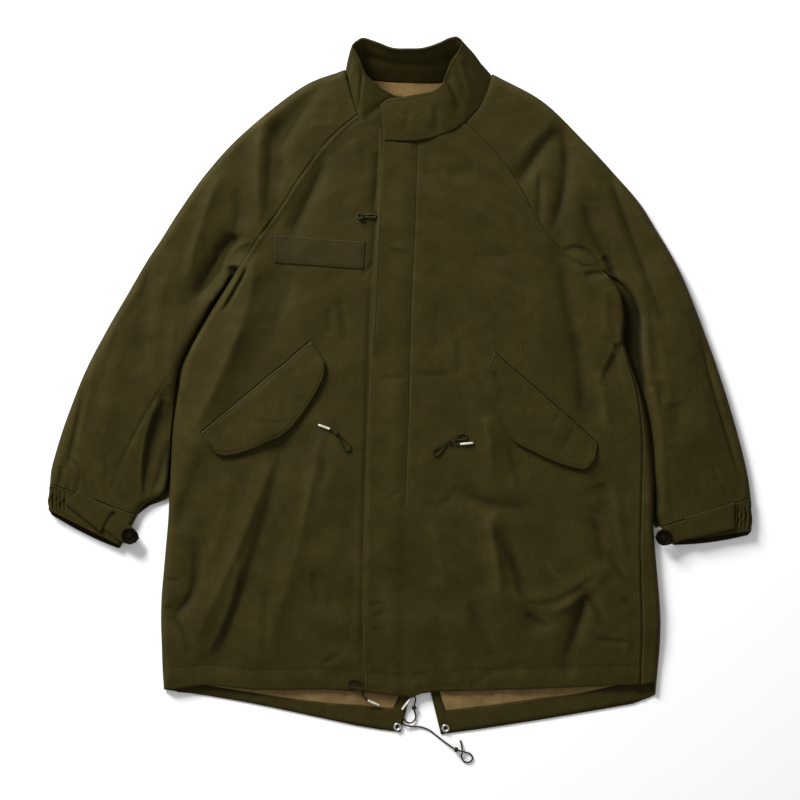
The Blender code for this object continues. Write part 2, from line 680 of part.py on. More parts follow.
def cuff_surface(ends):
    outer0, inner0, outer1, inner1 = (np.array(p, float) for p in ends)
    half = CUFF_AROUND // 2

    def at(c, v):
        c = c % CUFF_AROUND
        under = c > half
        k = CUFF_AROUND - c if under else c
        outer = outer0 + (outer1 - outer0) * v
        inner = inner0 + (inner1 - inner0) * v
        way = (inner - outer) / np.linalg.norm(inner - outer)
        width = np.linalg.norm(inner - outer)
        rim = ROUND_UNDER if under else CUFF_EDGE
        step = -1.0 if under else 1.0
        if k < 2:
            top = sleeve_top(*(outer + way * rim * k / 2))
            d, z = rolled(step * k / 2, top, 1.0, rim)
        elif k > half - 2:
            top = sleeve_top(*(inner - way * rim * (half - k) / 2))
            d, z = rolled(step * (half - k) / 2, top, 1.0, rim)
            d = width - d
        else:
            d = rim + (width - 2 * rim) * (k - 2) / (half - 4)
            z = 0.0 if under else sleeve_top(*(outer + way * d))
        here = outer + way * d
        if under:
            down = (outer1 - outer0) / np.linalg.norm(outer1 - outer0)
            here = here + down * MOUTH_DROP * v * math.sin(math.pi * k / half)
        return np.array([here[0], here[1], z])

    return at


# ---------------------------------------------------------------- making solids
def normal(surface, c, v, flip):
    step = 0.04
    across = surface(c + step, v) - surface(c - step, v)
    along = surface(c, v + step) - surface(c, v - step)
    n = np.cross(across, along)
    size = np.linalg.norm(n)
    n = n / size if size > 1e-9 else np.array([0.0, 0.0, 1.0])
    return -n if flip else n


def add_object(name, mesh, mat):
    mesh.materials.append(mat)
    obj = bpy.data.objects.new(name, mesh)
    bpy.context.scene.collection.objects.link(obj)
    return obj


def slab(name, mat, surface, columns, rows, above, below, flip=False, keep=None, ring=False):
    """A panel of cloth: a grid laid on the surface, its faces moved out and in along the normal."""
    bm = bmesh.new()
    bmesh.ops.create_grid(bm, x_segments=len(columns) - 1, y_segments=len(rows) - 1, size=1.0)
    inside = bm.verts.layers.float_vector.new("inside")
    cell = {}
    for vert in bm.verts:
        i = round((vert.co.x + 1) / 2 * (len(columns) - 1))
        j = round((vert.co.y + 1) / 2 * (len(rows) - 1))
        cell[vert] = (i, j)
    if keep is not None:
        out = [f for f in bm.faces if not keep(min(cell[v][0] for v in f.verts),
                                               min(cell[v][1] for v in f.verts))]
        bmesh.ops.delete(bm, geom=out, context="FACES")
    for vert in bm.verts:
        i, j = cell[vert]
        here = surface(columns[i], rows[j])
        n = normal(surface, columns[i], rows[j], flip)
        vert.co = (here + n * above) * MM
        vert[inside] = (here - n * below) * MM
    if ring:
        bmesh.ops.remove_doubles(bm, verts=bm.verts, dist=1e-6)
    bmesh.ops.triangulate(bm, faces=bm.faces, quad_method="FIXED")
    rims = [e for e in bm.edges if e.is_boundary]
    doubled = bmesh.ops.duplicate(bm, geom=bm.faces)
    under = [f for f in doubled["geom"] if isinstance(f, bmesh.types.BMFace)]
    twin = doubled["vert_map"]
    for vert in {v for f in under for v in f.verts}:
        vert.co = vert[inside]
    bmesh.ops.reverse_faces(bm, faces=under)
    for a, b in [e.verts for e in rims]:
        bm.faces.new((a, b, twin[b], twin[a]))
    bmesh.ops.recalc_face_normals(bm, faces=bm.faces)
    mesh = bpy.data.meshes.new(name)
    bm.to_mesh(mesh)
    bm.free()
    return add_object(name, mesh, mat)


def turned(name, mat, section, at):
    """A turned piece: its section from the axis, out and back, screwed round Z."""
    mesh = bpy.data.meshes.new(name)
    points = [(r * MM, 0.0, z * MM) for r, z in section]
    mesh.from_pydata(points, [(i, i + 1) for i in range(len(points) - 1)], [])
    obj = add_object(name, mesh, mat)
    screw = obj.modifiers.new("turn", "SCREW")
    screw.steps = screw.render_steps = 20
    screw.use_merge_vertices = True
    screw.merge_threshold = 0.00005
    screw.use_normal_calculate = True
    obj.location = [n * MM for n in at]
    return obj


def tree_of(*objects):
    trees = []
    for obj in objects:
        bm = bmesh.new()
        bm.from_mesh(obj.data)
        trees.append(BVHTree.FromBMesh(bm))
        bm.free()
    return trees


def rest_height(trees):
    """Height of what lies under a point, from the made panels."""
    def at(x, y):
        hits = [t.ray_cast(Vector((x * MM, y * MM, 1.0)), Vector((0, 0, -1)))[0] for t in trees]
        return max([h.z / MM for h in hits if h is not None], default=0.0)

    return at


def steps(count, parts=1):
    return [k / parts for k in range(count * parts + 1)]


shell = material("shell cloth", OLIVE)
tape_cloth = material("name tape", OLIVE_TAPE)
lining = material("lining", BEIGE)
horn = material("buttons", BUTTON, 0.45)
steel = material("snaps", SILVER, 0.3, 0.9)

rows_body = steps(NECK)
columns_front = steps(FRONT_COLUMNS)
right_front, left_front = front_surface(False), front_surface(True)
front_right = slab("front_right", shell, right_front, columns_front, rows_body, 0.0, SHELL)
front_left = slab("front_left", shell, left_front, columns_front, rows_body, 0.0, SHELL, flip=True)

rows_sleeve = steps(len(SLEEVE_RIGHT) - 1)
columns_sleeve = steps(SLEEVE_COLUMNS)
columns_under = [0, 1, 2, 3, 5.5, 8.5, 11, 12, 13, 14]
for side, left in (("right", False), ("left", True)):
    slab("sleeve_front_" + side, shell, sleeve_surface(left), columns_sleeve, rows_sleeve,
         0.0, SHELL, flip=left)
    slab("sleeve_back_" + side, shell, sleeve_surface(left, True), columns_under, rows_sleeve,
         0.0, SHELL, flip=not left)

slab("back", shell, back_surface, steps(BACK_COLUMNS), rows_body, 0.0, SHELL, flip=True,
     keep=lambda i, j: not (i == BACK_EDGE + BACK_FLAT and j < VENT_TOP))

around = steps(len(COLLAR) - 1)
slab("collar_outer", shell, collar_surface, around, steps(COLLAR_CELLS), 0.0, COLLAR_WALL,
     flip=True)
slab("collar_inner", shell, collar_surface, around, steps(COLLAR_CELLS),
     -COLLAR_WALL - COLLAR_GAP, 2 * COLLAR_WALL + COLLAR_GAP, flip=True)

slab("storm_flap", shell, placket_surface, steps(3), [0.0] + rows_body[1:-1] + [NECK - 0.15],
     2 * CLEAR + FLAP_WALL, -2 * CLEAR)

on_front = rest_height(tree_of(front_right, front_left))
for side, rows in (("right", FLAP_RIGHT), ("left", FLAP_LEFT)):
    slab("pocket_flap_" + side, shell, strip(rows, on_front), steps(len(rows) - 1),
         (0, 0.25, 0.5, 0.75, 1), 1.5 * CLEAR + FLAP_WALL, -1.5 * CLEAR, flip=True)
slab("name_tape", tape_cloth, straight_strip(TAPE, on_front), steps(3, 2), (0, 0.5, 1),
     2 * CLEAR + TAPE_WALL, -2 * CLEAR, flip=True)

for side, rows in (("right", FACING_RIGHT), ("left", FACING_LEFT)):
    inner_floor = SHELL + SEAM
    slab("facing_" + side, shell, straight_strip(rows, lambda x, y: inner_floor),
         steps(len(rows) - 1), (0, 1), FACING_WALL, 0.0, flip=side == "left")
    turn = 1 if side == "right" else -1
    lined = [(r[2], r[3] + 0.4, r[2], LINING_TOP_Y) for r in rows[:CORNER]]
    lined.append((rows[CORNER][2] - turn * 0.5, rows[CORNER][3] + 0.4,
                  rows[-1][2] - turn * 0.5, LINING_TOP_Y))
    slab("lining_tail_" + side, lining, straight_strip(lined, lambda x, y: inner_floor),
         steps(len(lined) - 1), (0, 1), LINING, 0.0, flip=side == "left")
slab("lining_neck", lining, straight_strip(LINING_NECK, lambda x, y: SHELL + SEAM),
     steps(3), (0, 0.5, 1), LINING, 0.0)

for k, (side, ends, tab) in enumerate((("right", CUFF_RIGHT, TAB_RIGHT),
                                       ("left", CUFF_LEFT, TAB_LEFT))):
    slab("cuff_band_" + side, shell, cuff_surface(ends), steps(CUFF_AROUND),
         (0.02, 0.5, 1), 0.0, CUFF_WALL, flip=k == 0, ring=True)
    tab_piece = slab("cuff_tab_" + side, shell, straight_strip(tab, sleeve_top),
                     steps(len(tab) - 1), (0, 0.5, 1), CLEAR + FLAP_WALL, -CLEAR, flip=k == 0)
    on_tab = rest_height(tree_of(tab_piece))
    turned("cuff_button_" + side, horn, BUTTON_SECTION,
           (*BUTTON_AT[k], on_tab(*BUTTON_AT[k]) + CLEAR))
    turned("tail_snap_" + side, steel, SNAP_SECTION,
           (*SNAP_AT[k], SHELL + SEAM + FACING_WALL + SEAM))


def curve_through(points, gap):
    """Points read every gap or so along a soft curve through a route's own points."""
    table = [tuple(p) for p in points]
    fine = [np.array([smooth(table, k / 12, n) for n in range(3)])
            for k in range(12 * (len(table) - 1) + 1)]
    run = np.concatenate([[0], np.cumsum([np.linalg.norm(b - a) for a, b in zip(fine, fine[1:])])])
    count = max(int(round(run[-1] / gap)), 4)
    return [np.array([np.interp(run[-1] * k / count, run, [p[n] for p in fine])
                      for n in range(3)]) for k in range(count + 1)]


def cord(name, points, diameter, mat, gap=2.5, sides=2):
    data = bpy.data.curves.new(name, "CURVE")
    data.dimensions = "3D"
    data.bevel_depth = diameter / 2 * MM
    data.bevel_resolution = sides
    data.use_fill_caps = True
    path = curve_through(points, diameter * gap) if len(points) > 2 else points
    spline = data.splines.new("POLY")
    spline.points.add(len(path) - 1)
    for point, here in zip(spline.points, path):
        point.co = (*(n * MM for n in here), 1.0)
    data.materials.append(mat)
    obj = bpy.data.objects.new(name, data)
    bpy.context.scene.collection.objects.link(obj)
    return obj


def knot(name, at, way, shape, mat):
    """A turn of cord round the cord: a ring across its way, clear of it."""
    ring, tube = shape
    bpy.ops.mesh.primitive_torus_add(major_segments=12, minor_segments=8, major_radius=ring * MM,
                                     minor_radius=tube * MM, location=[n * MM for n in at])
    obj = bpy.context.object
    obj.name = obj.data.name = name
    obj.rotation_mode = "QUATERNION"
    obj.rotation_quaternion = Vector(way).to_track_quat("Z", "Y")
    obj.data.materials.append(mat)
    return obj


cord_cloth = material("drawcord", CORD)
ivory = material("cord tips", IVORY, 0.4)


def lifted(route):
    return [(x, y, on_front(x, y) + lift) for x, y, lift in route]


cord("waist_cord_right", lifted(WAIST_RIGHT), CORD_D, cord_cloth)
cord("waist_cord_left", lifted(WAIST_LEFT), CORD_D, cord_cloth)
cord("hem_cord_right", lifted(HEM_RIGHT), CORD_D, cord_cloth)
cord("tail_cord_tip", TAIL_A, CORD_D, cord_cloth)
cord("tail_cord_long", TAIL_B, CORD_D, cord_cloth)
cord("chest_pull", lifted(CHEST), PULL_D, cord_cloth, gap=1.2)
for name, (a, b, lift) in AGLETS.items():
    cord(name, [(*p, on_front(*p) + lift) for p in (a, b)], AGLET_D, ivory)
for name, (a, b) in TAIL_TIPS.items():
    cord(name, [a, b], AGLET_D, ivory)
for name, route, k in (("waist_knot_right", lifted(WAIST_RIGHT), 10),
                       ("waist_knot_left", lifted(WAIST_LEFT), 10),
                       ("hem_knot_right", lifted(HEM_RIGHT), 7),
                       ("tail_knot_tip", TAIL_A, 6),
                       ("tail_knot_long", TAIL_B, 7)):
    way = np.array(route[k + 1], float) - np.array(route[k - 1], float)
    knot(name, route[k], way, KNOT_SHAPE, cord_cloth)

x, y, lift = CHEST_KNOT[0]
bpy.ops.mesh.primitive_uv_sphere_add(segments=12, ring_count=8, radius=MM, location=(
    x * MM, y * MM, (on_front(x, y) + lift) * MM), scale=CHEST_KNOT[1])
pull_knot = bpy.context.object
pull_knot.name = pull_knot.data.name = "chest_knot"
pull_knot.data.materials.append(cord_cloth)

# the origin is under the middle of the laid garment
garment = bpy.data.objects.new("garment", None)
bpy.context.scene.collection.objects.link(garment)
for piece in list(bpy.context.scene.objects):
    if piece is not garment:
        piece.parent = garment
garment.location = [n * MM for n in ORIGIN_SHIFT]
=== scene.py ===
"""Looks of a fishtail parka laid flat on its back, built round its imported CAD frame.
Tables are in millimetres on the part's own axes: x to the wearer's left, y to the collar, z up.
placed() turns them into the row frame's metres."""

import json
import math

import bmesh
import bpy
import numpy as np
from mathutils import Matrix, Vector
from mathutils.bvhtree import BVHTree

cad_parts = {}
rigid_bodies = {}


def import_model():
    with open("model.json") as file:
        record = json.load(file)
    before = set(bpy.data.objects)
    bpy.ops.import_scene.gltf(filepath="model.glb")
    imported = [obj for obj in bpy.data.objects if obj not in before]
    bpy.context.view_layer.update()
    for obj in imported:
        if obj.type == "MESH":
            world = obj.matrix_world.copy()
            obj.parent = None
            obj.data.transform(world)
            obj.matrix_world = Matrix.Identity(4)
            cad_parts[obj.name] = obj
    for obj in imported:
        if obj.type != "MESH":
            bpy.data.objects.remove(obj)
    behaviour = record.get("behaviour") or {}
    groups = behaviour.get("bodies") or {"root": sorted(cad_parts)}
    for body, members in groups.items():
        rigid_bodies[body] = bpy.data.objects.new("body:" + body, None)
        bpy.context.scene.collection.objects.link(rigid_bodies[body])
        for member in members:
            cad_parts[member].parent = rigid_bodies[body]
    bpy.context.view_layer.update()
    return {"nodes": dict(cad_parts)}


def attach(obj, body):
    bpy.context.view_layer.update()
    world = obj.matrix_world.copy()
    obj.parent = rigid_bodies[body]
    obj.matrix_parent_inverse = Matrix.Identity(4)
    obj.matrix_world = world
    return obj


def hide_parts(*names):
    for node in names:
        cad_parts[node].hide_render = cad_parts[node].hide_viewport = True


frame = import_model()
scene = bpy.context.scene

MM = 0.001
ORIGIN_SHIFT = (0.0, 3.2, 0.0)  # the part's axes to the row frame's, in millimetres


def placed(points):
    return (np.asarray(points, float) + ORIGIN_SHIFT) * MM


# ---------------------------------------------------------------- camera
# straight down on the garment, which fills the photo's 800 pixels at 1.4 mm a pixel
CAMERA_Y = -16.4
CAMERA_Z = 2500.0
VIEW_WIDTH = 1120.0
SENSOR = 36.0


def add_camera():
    data = bpy.data.cameras.new("camera")
    data.sensor_width = SENSOR
    data.lens = SENSOR * CAMERA_Z / VIEW_WIDTH
    camera = bpy.data.objects.new("camera", data)
    camera.location = (0.0, CAMERA_Y * MM, CAMERA_Z * MM)
    scene.collection.objects.link(camera)
    scene.camera = camera


add_camera()

# ---------------------------------------------------------------- sizes, as the part has them
SHELL = 1.5  # shell cloth, seams pressed in
LINING = 1.0
SEAM = 0.3  # gap between two pieces at a seam
SIDE_Z = 4.0  # height of the side seams above the floor
ROUND = 10.0  # how far the body's side takes to roll over
ROUND_SLEEVE = 13.0
ROUND_UNDER = 4.0
BODY_H = 16.0  # top of the closed body above the floor
HEM_H = 10.5  # top of the front at its open hem
SLEEVE_H = 19.0
CUFF_H = 13.0
OPEN_HEM = 110.0  # how far up from the hem the front takes to reach its full height
OPEN_FOLD = 0.35  # share of the folds' height left at the open hem
CUFF_REACH = 110.0  # how far up from the cuff the sleeve takes to reach its full height
CUFF_Y = -185.0
CUFF_FOLD = 0.25  # share of the folds' height left at the cuff
SWELL_Y = 190.0  # the sleeve stands over the body's height below this
SWELL_REACH = 150.0
EDGE_START = 0.012  # step past the very edge, so that the panels of a seam stay apart
UNDER_START = 0.04

# ---------------------------------------------------------------- body edges
# One row a station from hem to neck, the same stations on both sides. Rows 0 to 17 are the side
# seam, 17 is the underarm, 17 to 23 the raglan seam. roll: 1 where the side rolls over to the back.
# wrap: how far the back comes round onto the top before the side seam.
#     right_x right_y  left_x left_y  wrap  centre_y roll
BODY_ROWS = (
    (-330, -423,   357, -417,  22, -434, 1.0),
    (-332, -392,   360, -388,  24, -398, 1.0),
    (-333, -360,   363, -358,  26, -365, 1.0),
    (-334, -326,   364, -325,  27, -330, 1.0),
    (-333, -292,   362, -292,  26, -295, 1.0),
    (-330, -258,   359, -258,  24, -260, 1.0),
    (-327, -223,   356, -223,  22, -225, 1.0),
    (-324, -188,   354, -188,  19, -190, 1.0),
    (-322, -150,   354, -150,  18, -152, 1.0),
    (-320, -110,   352, -110,  15, -112, 1.0),
    (-318,  -70,   349,  -72,  12,  -72, 1.0),
    (-314,  -34,   343,  -36,   9,  -36, 1.0),
    (-310,   -2,   335,   -4,   6,   -2, 1.0),
    (-304,   30,   323,   30,   3,   32, 1.0),
    (-285,   68,   313,   66,   1,   66, 1.0),
    (-262,  107,   314,  100,   0,  100, 1.0),
    (-240,  141,   305,  135,   0,  132, 0.7),
    (-219,  173,   277,  165,   0,  165, 0.0),
    (-196,  208,   250,  172,   0,  197, 0.0),
    (-168,  246,   221,  194,   0,  230, 0.0),
    (-138,  293,   192,  232,   0,  268, 0.0),
    (-105,  336,   161,  289,   0,  300, 0.0),
    ( -82,  359,   126,  333,   0,  322, 0.0),
    ( -60,  376,    90,  367,   0,  342, 0.0))
UNDERARM = 17
NECK = 23
# back raglan seams and back neck, rows 17 to 23
#      right_x right_y left_x left_y centre_y
BACK_YOKE = (
    (-219, 173,  277, 165,  168),
    (-190, 217,  245, 205,  210),
    (-160, 262,  212, 250,  255),
    (-130, 306,  178, 296,  300),
    (-100, 348,  145, 340,  345),
    ( -72, 388,  112, 384,  388),
    ( -46, 427,   82, 425,  424))

# ---------------------------------------------------------------- sleeve edges
# One row a station from cuff to neck; the inner edge joins the body's raglan rows at row 11.
#   outer_x outer_y inner_x inner_y
SLEEVE_RIGHT = (
    (-489, -135, -367, -180),
    (-487, -116, -355, -165),
    (-480,  -90, -328, -147),
    (-470,  -58, -323, -110),
    (-458,  -25, -321,  -70),
    (-445,    8, -317,  -34),
    (-431,   38, -313,   -2),
    (-415,   68, -307,   31),
    (-400,   95, -288,   70),
    (-384,  122, -265,  109),
    (-368,  150, -242,  143),
    (-352,  177, -219,  173),
    (-334,  204, -196,  208),
    (-308,  245, -168,  246),
    (-270,  298, -138,  293),
    (-219,  353, -105,  336),
    (-138,  417,  -82,  359),
    ( -80,  441,  -60,  376))
SLEEVE_LEFT = (
    (490, -155,  364, -196),
    (487, -132,  358, -180),
    (481, -103,  358, -150),
    (472,  -68,  356, -110),
    (462,  -33,  353,  -72),
    (451,    2,  347,  -36),
    (441,   32,  339,   -4),
    (430,   62,  334,   30),
    (419,   92,  332,   66),
    (407,  123,  330,  100),
    (392,  158,  313,  139),
    (375,  190,  277,  165),
    (358,  218,  250,  172),
    (335,  255,  221,  194),
    (305,  290,  192,  232),
    (258,  341,  161,  289),
    (200,  397,  126,  333),
    (133,  434,   90,  367))
SLEEVE_UNDERARM = 11

# ---------------------------------------------------------------- centre front
# placket edges down the front; the zip line runs between them
#   y   right_edge left_edge
PLACKET = (
    (-440, -48,   7),
    (-300, -53,   7),
    (-166, -50,   8),
    ( -47, -45,  13),
    ( 120, -36,  17),
    ( 218, -31,  22),
    ( 345, -29,  26))
PLACKET_SLANT = 0.4  # rows by which its top edge drops at the free side
# lower edge of the closed fronts and of the back with its tails
#       x    front_y back_y
HEM = (
    (-335, -423, -424),
    (-257, -425, -435),
    (-196, -429, -446),
    (-140, -427, -458),
    ( -52, -431, -477),
    (  -6, -435, -484),
    (  56, -427, -487.5),
    ( 112, -425, -480),
    ( 196, -422, -467),
    ( 279, -419, -453),
    ( 340, -416, -442),
    ( 360, -412, -430))
# front neck seam
#   x    y
FRONT_NECK = (
    (-60, 376),
    (-31, 356),
    ( -6, 342),
    ( 22, 342),
    ( 56, 352),
    ( 90, 367))

# ---------------------------------------------------------------- back
# the vent is a slit that opens downwards between the two tails
VENT_X = 29.0
VENT_TOP = 2  # row
VENT_TOP_Y = -379.0
VENT_SLOPE = 0.25
VENT_CLOSED = 1.5  # half width of the strip above the slit
# how much of the tails' curve each row takes, hem row first
TAIL_BOW = (1.0, 0.68, 0.32, 0.12, 0.0)

# ---------------------------------------------------------------- collar
# one row a station round the neck, from the wearer's right front end, under the overlap, round the
# back to the left front end; base at the neck seam and top edge, both on the outer cloth
#      base_x base_y base_z top_x top_y top_z
COLLAR = (
    (  -6, 344, 15.0,   14, 402, 14.5),
    ( -19, 352, 15.2,    3, 403, 16.0),
    ( -32, 359, 15.8,   -7, 404, 19.0),
    ( -46, 367, 16.5,  -24, 412, 24.0),
    ( -55, 373, 16.5,  -36, 421, 29.0),
    ( -60, 384, 16.5,  -47, 431, 34.0),
    ( -66, 406, 16.0,  -55, 448, 40.0),
    ( -71, 426, 14.0,  -62, 461, 43.0),
    ( -76, 438,  9.5,  -66, 469, 43.0),
    ( -70, 441,  5.0,  -60, 476, 41.0),
    ( -53, 435,  2.6,  -50, 480, 39.0),
    ( -32, 430,  2.0,  -30, 474, 38.0),
    ( -10, 428,  2.0,  -10, 467, 37.0),
    (  13, 427,  2.0,   12, 466, 37.0),
    (  35, 426,  2.0,   33, 467, 37.0),
    (  57, 427,  2.0,   54, 474, 38.0),
    (  84, 431,  2.6,   68, 480, 40.0),
    ( 113, 436,  4.5,   79, 481, 42.0),
    ( 128, 432,  9.5,   85, 474, 43.0),
    ( 124, 418, 14.0,   81, 462, 42.0),
    ( 115, 399, 16.5,   71, 448, 39.0),
    ( 104, 384, 17.0,   64, 432, 35.0),
    (  90, 370, 17.3,   58, 418, 31.0),
    (  74, 359, 17.6,   47, 409, 27.5),
    (  56, 352, 18.0,   33, 406, 25.5),
    (  39, 346, 18.3,   15, 403, 24.5),
    (  19, 343, 18.8,   -1, 400, 24.0),
    (  -1, 343, 19.4,  -16, 398, 23.5),
    ( -22, 344, 19.8,  -27, 390, 23.0))
COLLAR_WALL = 1.2
COLLAR_GAP = 0.6
NECK_BOW_LEFT = 6.0  # how far the left sleeve's neck edge is hollowed
BACK_NECK_HOLLOW = 2.0

# ---------------------------------------------------------------- pieces on the panels
# pocket flaps: stations along the slanted top edge, top edge and free edge
#       top_x top_y free_x free_y
FLAP_RIGHT = (
    (-276,  -64, -264,  -82),
    (-267,  -57, -256,  -93),
    (-250,  -43, -242,  -97),
    (-228,  -24, -217,  -92),
    (-206,   -6, -189,  -81),
    (-184,   13, -161,  -67),
    (-161,   31, -139,  -43),
    (-142,   48, -120,  -15),
    (-131,   57, -106,   14),
    (-124,   63, -105,   33))
FLAP_LEFT = (
    ( 131,   47,  119,   15),
    ( 138,   40,  119,    3),
    ( 150,   29,  129,  -28),
    ( 167,   15,  144,  -55),
    ( 184,    0,  157,  -76),
    ( 203,  -17,  184,  -91),
    ( 225,  -36,  214, -105),
    ( 248,  -56,  242, -114),
    ( 264,  -71,  258, -115),
    ( 275,  -81,  270, -102))
TAPE = ((-175, 210, -175, 171),
        (-133, 207, -134, 168),
        ( -90, 203,  -92, 165),
        ( -48, 200,  -51, 162))
FLAP_WALL = 2.0  # two layers, turned
TAPE_WALL = 1.0
CLEAR = 0.35

# facing round each tail: outer and inner edge, from the side to the vent and up it
#    outer_x outer_y inner_x inner_y
FACING_RIGHT = (
    (-312, -428, -312, -412),
    (-257, -433, -257, -421),
    (-196, -444, -200, -430),
    (-140, -456, -145, -439),
    ( -96, -466,  -98, -445),
    ( -52, -475,  -52, -447.5),
    (   1, -483,   -9, -452),
    ( 8.5, -455, -7.4, -448),
    (  14, -432, -0.5, -430.5),
    (  24, -392,   15, -392))
FACING_LEFT = (
    ( 343, -438,  322, -416),
    ( 300, -446,  298, -420),
    ( 250, -455,  240, -432),
    ( 196, -465,  192, -438),
    ( 140, -473,  138, -446),
    (  98, -479,   98, -451),
    (57.5, -485,   64, -455),
    (49.5, -455, 61.7, -448),
    (  44, -432, 55.7, -430),
    (  34, -392,   43, -392))
CORNER = 6  # the row at the vent's corner
FACING_WALL = 1.1
LINING_TOP_Y = -392.0
# lining seen in the neck: lower and upper edge on the back
LINING_NECK = ((-52, 352, -38, 424),
               ( -5, 348,  -8, 423),
               ( 40, 348,  34, 422.5),
               ( 92, 356,  74, 422.5))

# ---------------------------------------------------------------- cuffs
#              sleeve end outer, inner; mouth outer, inner
CUFF_RIGHT = ((-489, -136), (-367, -181), (-491, -172), (-390, -223))
CUFF_LEFT = ((490, -156), (364, -197), (491, -202), (379, -217))
CUFF_WALL = 2.0
CUFF_EDGE = 7.0
CUFF_AROUND = 18
#      upper_x upper_y lower_x lower_y, along the tab to its round end
TAB_RIGHT = (
    (-449, -147, -466, -163),
    (-424, -159, -442, -183),
    (-399, -172, -417, -203),
    (-396, -181, -410, -201),
    (-382, -190, -397, -211),
    (-372, -197, -386, -218),
    (-365, -205, -376, -221),
    (-363, -212, -368, -218))
TAB_LEFT = (
    (465, -162, 466, -198),
    (430, -173, 434, -206),
    (396, -183, 402, -213),
    (391, -189, 395, -214),
    (377, -193, 382, -219),
    (367, -197, 371, -222),
    (358, -203, 361, -220),
    (355, -210, 356, -214))
BUTTON_AT = ((-376.5, -208.5), (367.0, -211.0))
SNAP_AT = ((-3.6, -476.5), (63.7, -478.5))

# ---------------------------------------------------------------- drawcords
CORD_D = 2.2
PULL_D = 2.8
# routes from where the cord leaves the cloth; the third value is the height of its middle over
# the front under it, or over the floor where it lies off the front
WAIST_RIGHT = ((-84.2, -68.8, 1.6), (-79.2, -72.8, 1.8), (-73.5, -78.5, 1.8), (-69.8, -83.2, 1.8),
               (-68.9, -86.5, 1.8), (-70.6, -89.4, 1.8), (-73.9, -90.3, 1.8), (-76.8, -88.5, 1.8),
               (-79.8, -83.3, 2.2), (-83.3, -75.9, 3.2), (-88.5, -65.8, 4.1), (-93.0, -62.4, 3.0),
               (-96.7, -60.4, 2.4))
WAIST_LEFT = ((64.7, -80.6, 1.6), (61.2, -86.4, 1.8), (56.1, -92.7, 1.8), (53.2, -95.5, 1.8),
              (49.9, -96.7, 1.8), (46.7, -95.2, 1.8), (45.5, -91.9, 1.8), (47.0, -88.7, 1.8),
              (52.0, -85.4, 2.2), (58.8, -80.9, 3.2), (67.3, -76.0, 4.1), (75.5, -71.0, 3.2),
              (82.5, -67.8, 2.0), (88.3, -66.8, 1.8), (92.4, -68.6, 1.8), (92.9, -72.2, 1.8),
              (90.0, -74.6, 1.8), (85.0, -75.0, 1.8), (79.8, -74.8, 1.8), (76.0, -76.2, 1.8),
              (75.6, -79.8, 1.8), (78.6, -81.6, 1.9), (83.0, -81.1, 2.2))
HEM_RIGHT = ((-57.0, -411.5, 1.6), (-62.0, -409.0, 1.8), (-68.0, -409.2, 1.8),
             (-72.4, -413.0, 1.8), (-71.6, -417.6, 1.8), (-66.8, -419.8, 2.4),
             (-60.8, -420.2, 3.5), (-55.6, -423.2, 4.1), (-52.6, -428.2, 3.8),
             (-50.2, -433.8, 12.7), (-46.2, -437.8, 9.6))
TAIL_A = ((5.0, -464.5, 4.3), (9.5, -469.6, 4.5), (15.5, -471.0, 3.6), (21.0, -467.0, 1.8),
          (22.0, -461.0, 2.0), (20.6, -455.5, 3.2), (19.8, -450.0, 4.0), (20.4, -444.5, 4.6),
          (21.8, -438.8, 5.2), (20.8, -434.6, 5.4), (17.4, -433.4, 5.4), (14.6, -436.2, 5.4))
TAIL_B = ((1.2, -468.6, 4.35), (7.0, -473.8, 4.2), (17.0, -476.2, 2.4), (28.0, -477.0, 1.3),
          (40.0, -481.0, 1.3), (51.5, -489.6, 1.3), (66.0, -500.5, 2.2), (78.4, -508.2, 3.9),
          (88.5, -511.5, 2.4), (98.0, -514.6, 1.5), (101.5, -521.0, 1.4), (96.5, -526.4, 1.4),
          (89.0, -525.0, 1.4), (86.0, -519.0, 1.5), (87.0, -511.8, 4.4), (86.2, -503.0, 2.2),
          (84.4, -495.8, 1.3))
CHEST_KNOT = ((-55.7, 236.2, 4.0), (5.0, 4.4, 3.6))
CHEST = ((-50.6, 237.9, 2.2), (-43.0, 238.2, 2.0), (-35.6, 238.3, 1.9), (-33.4, 236.4, 1.9),
         (-35.6, 234.5, 1.9), (-43.0, 234.5, 2.0), (-50.6, 234.7, 2.2))
# tips on the front: both ends and how high their middle lies over it
AGLETS = {"waist_tip_right": ((-97.6, -60.0), (-113.7, -54.0), 2.4),
          "waist_tip_left": ((83.7, -81.0), (101.9, -79.3), 2.4)}
# tips that lie off the fronts: both ends with their own heights
TAIL_TIPS = {"hem_tip_right": ((-44.8, -438.9, 8.6), (-28.4, -446.6, 5.2)),
             "tail_tip": ((13.8, -438.0, 5.3), (2.6, -452.4, 5.2))}
KNOT_SHAPE = (2.55, 1.1)  # ring of cord round the cord: its middle radius and its own radius

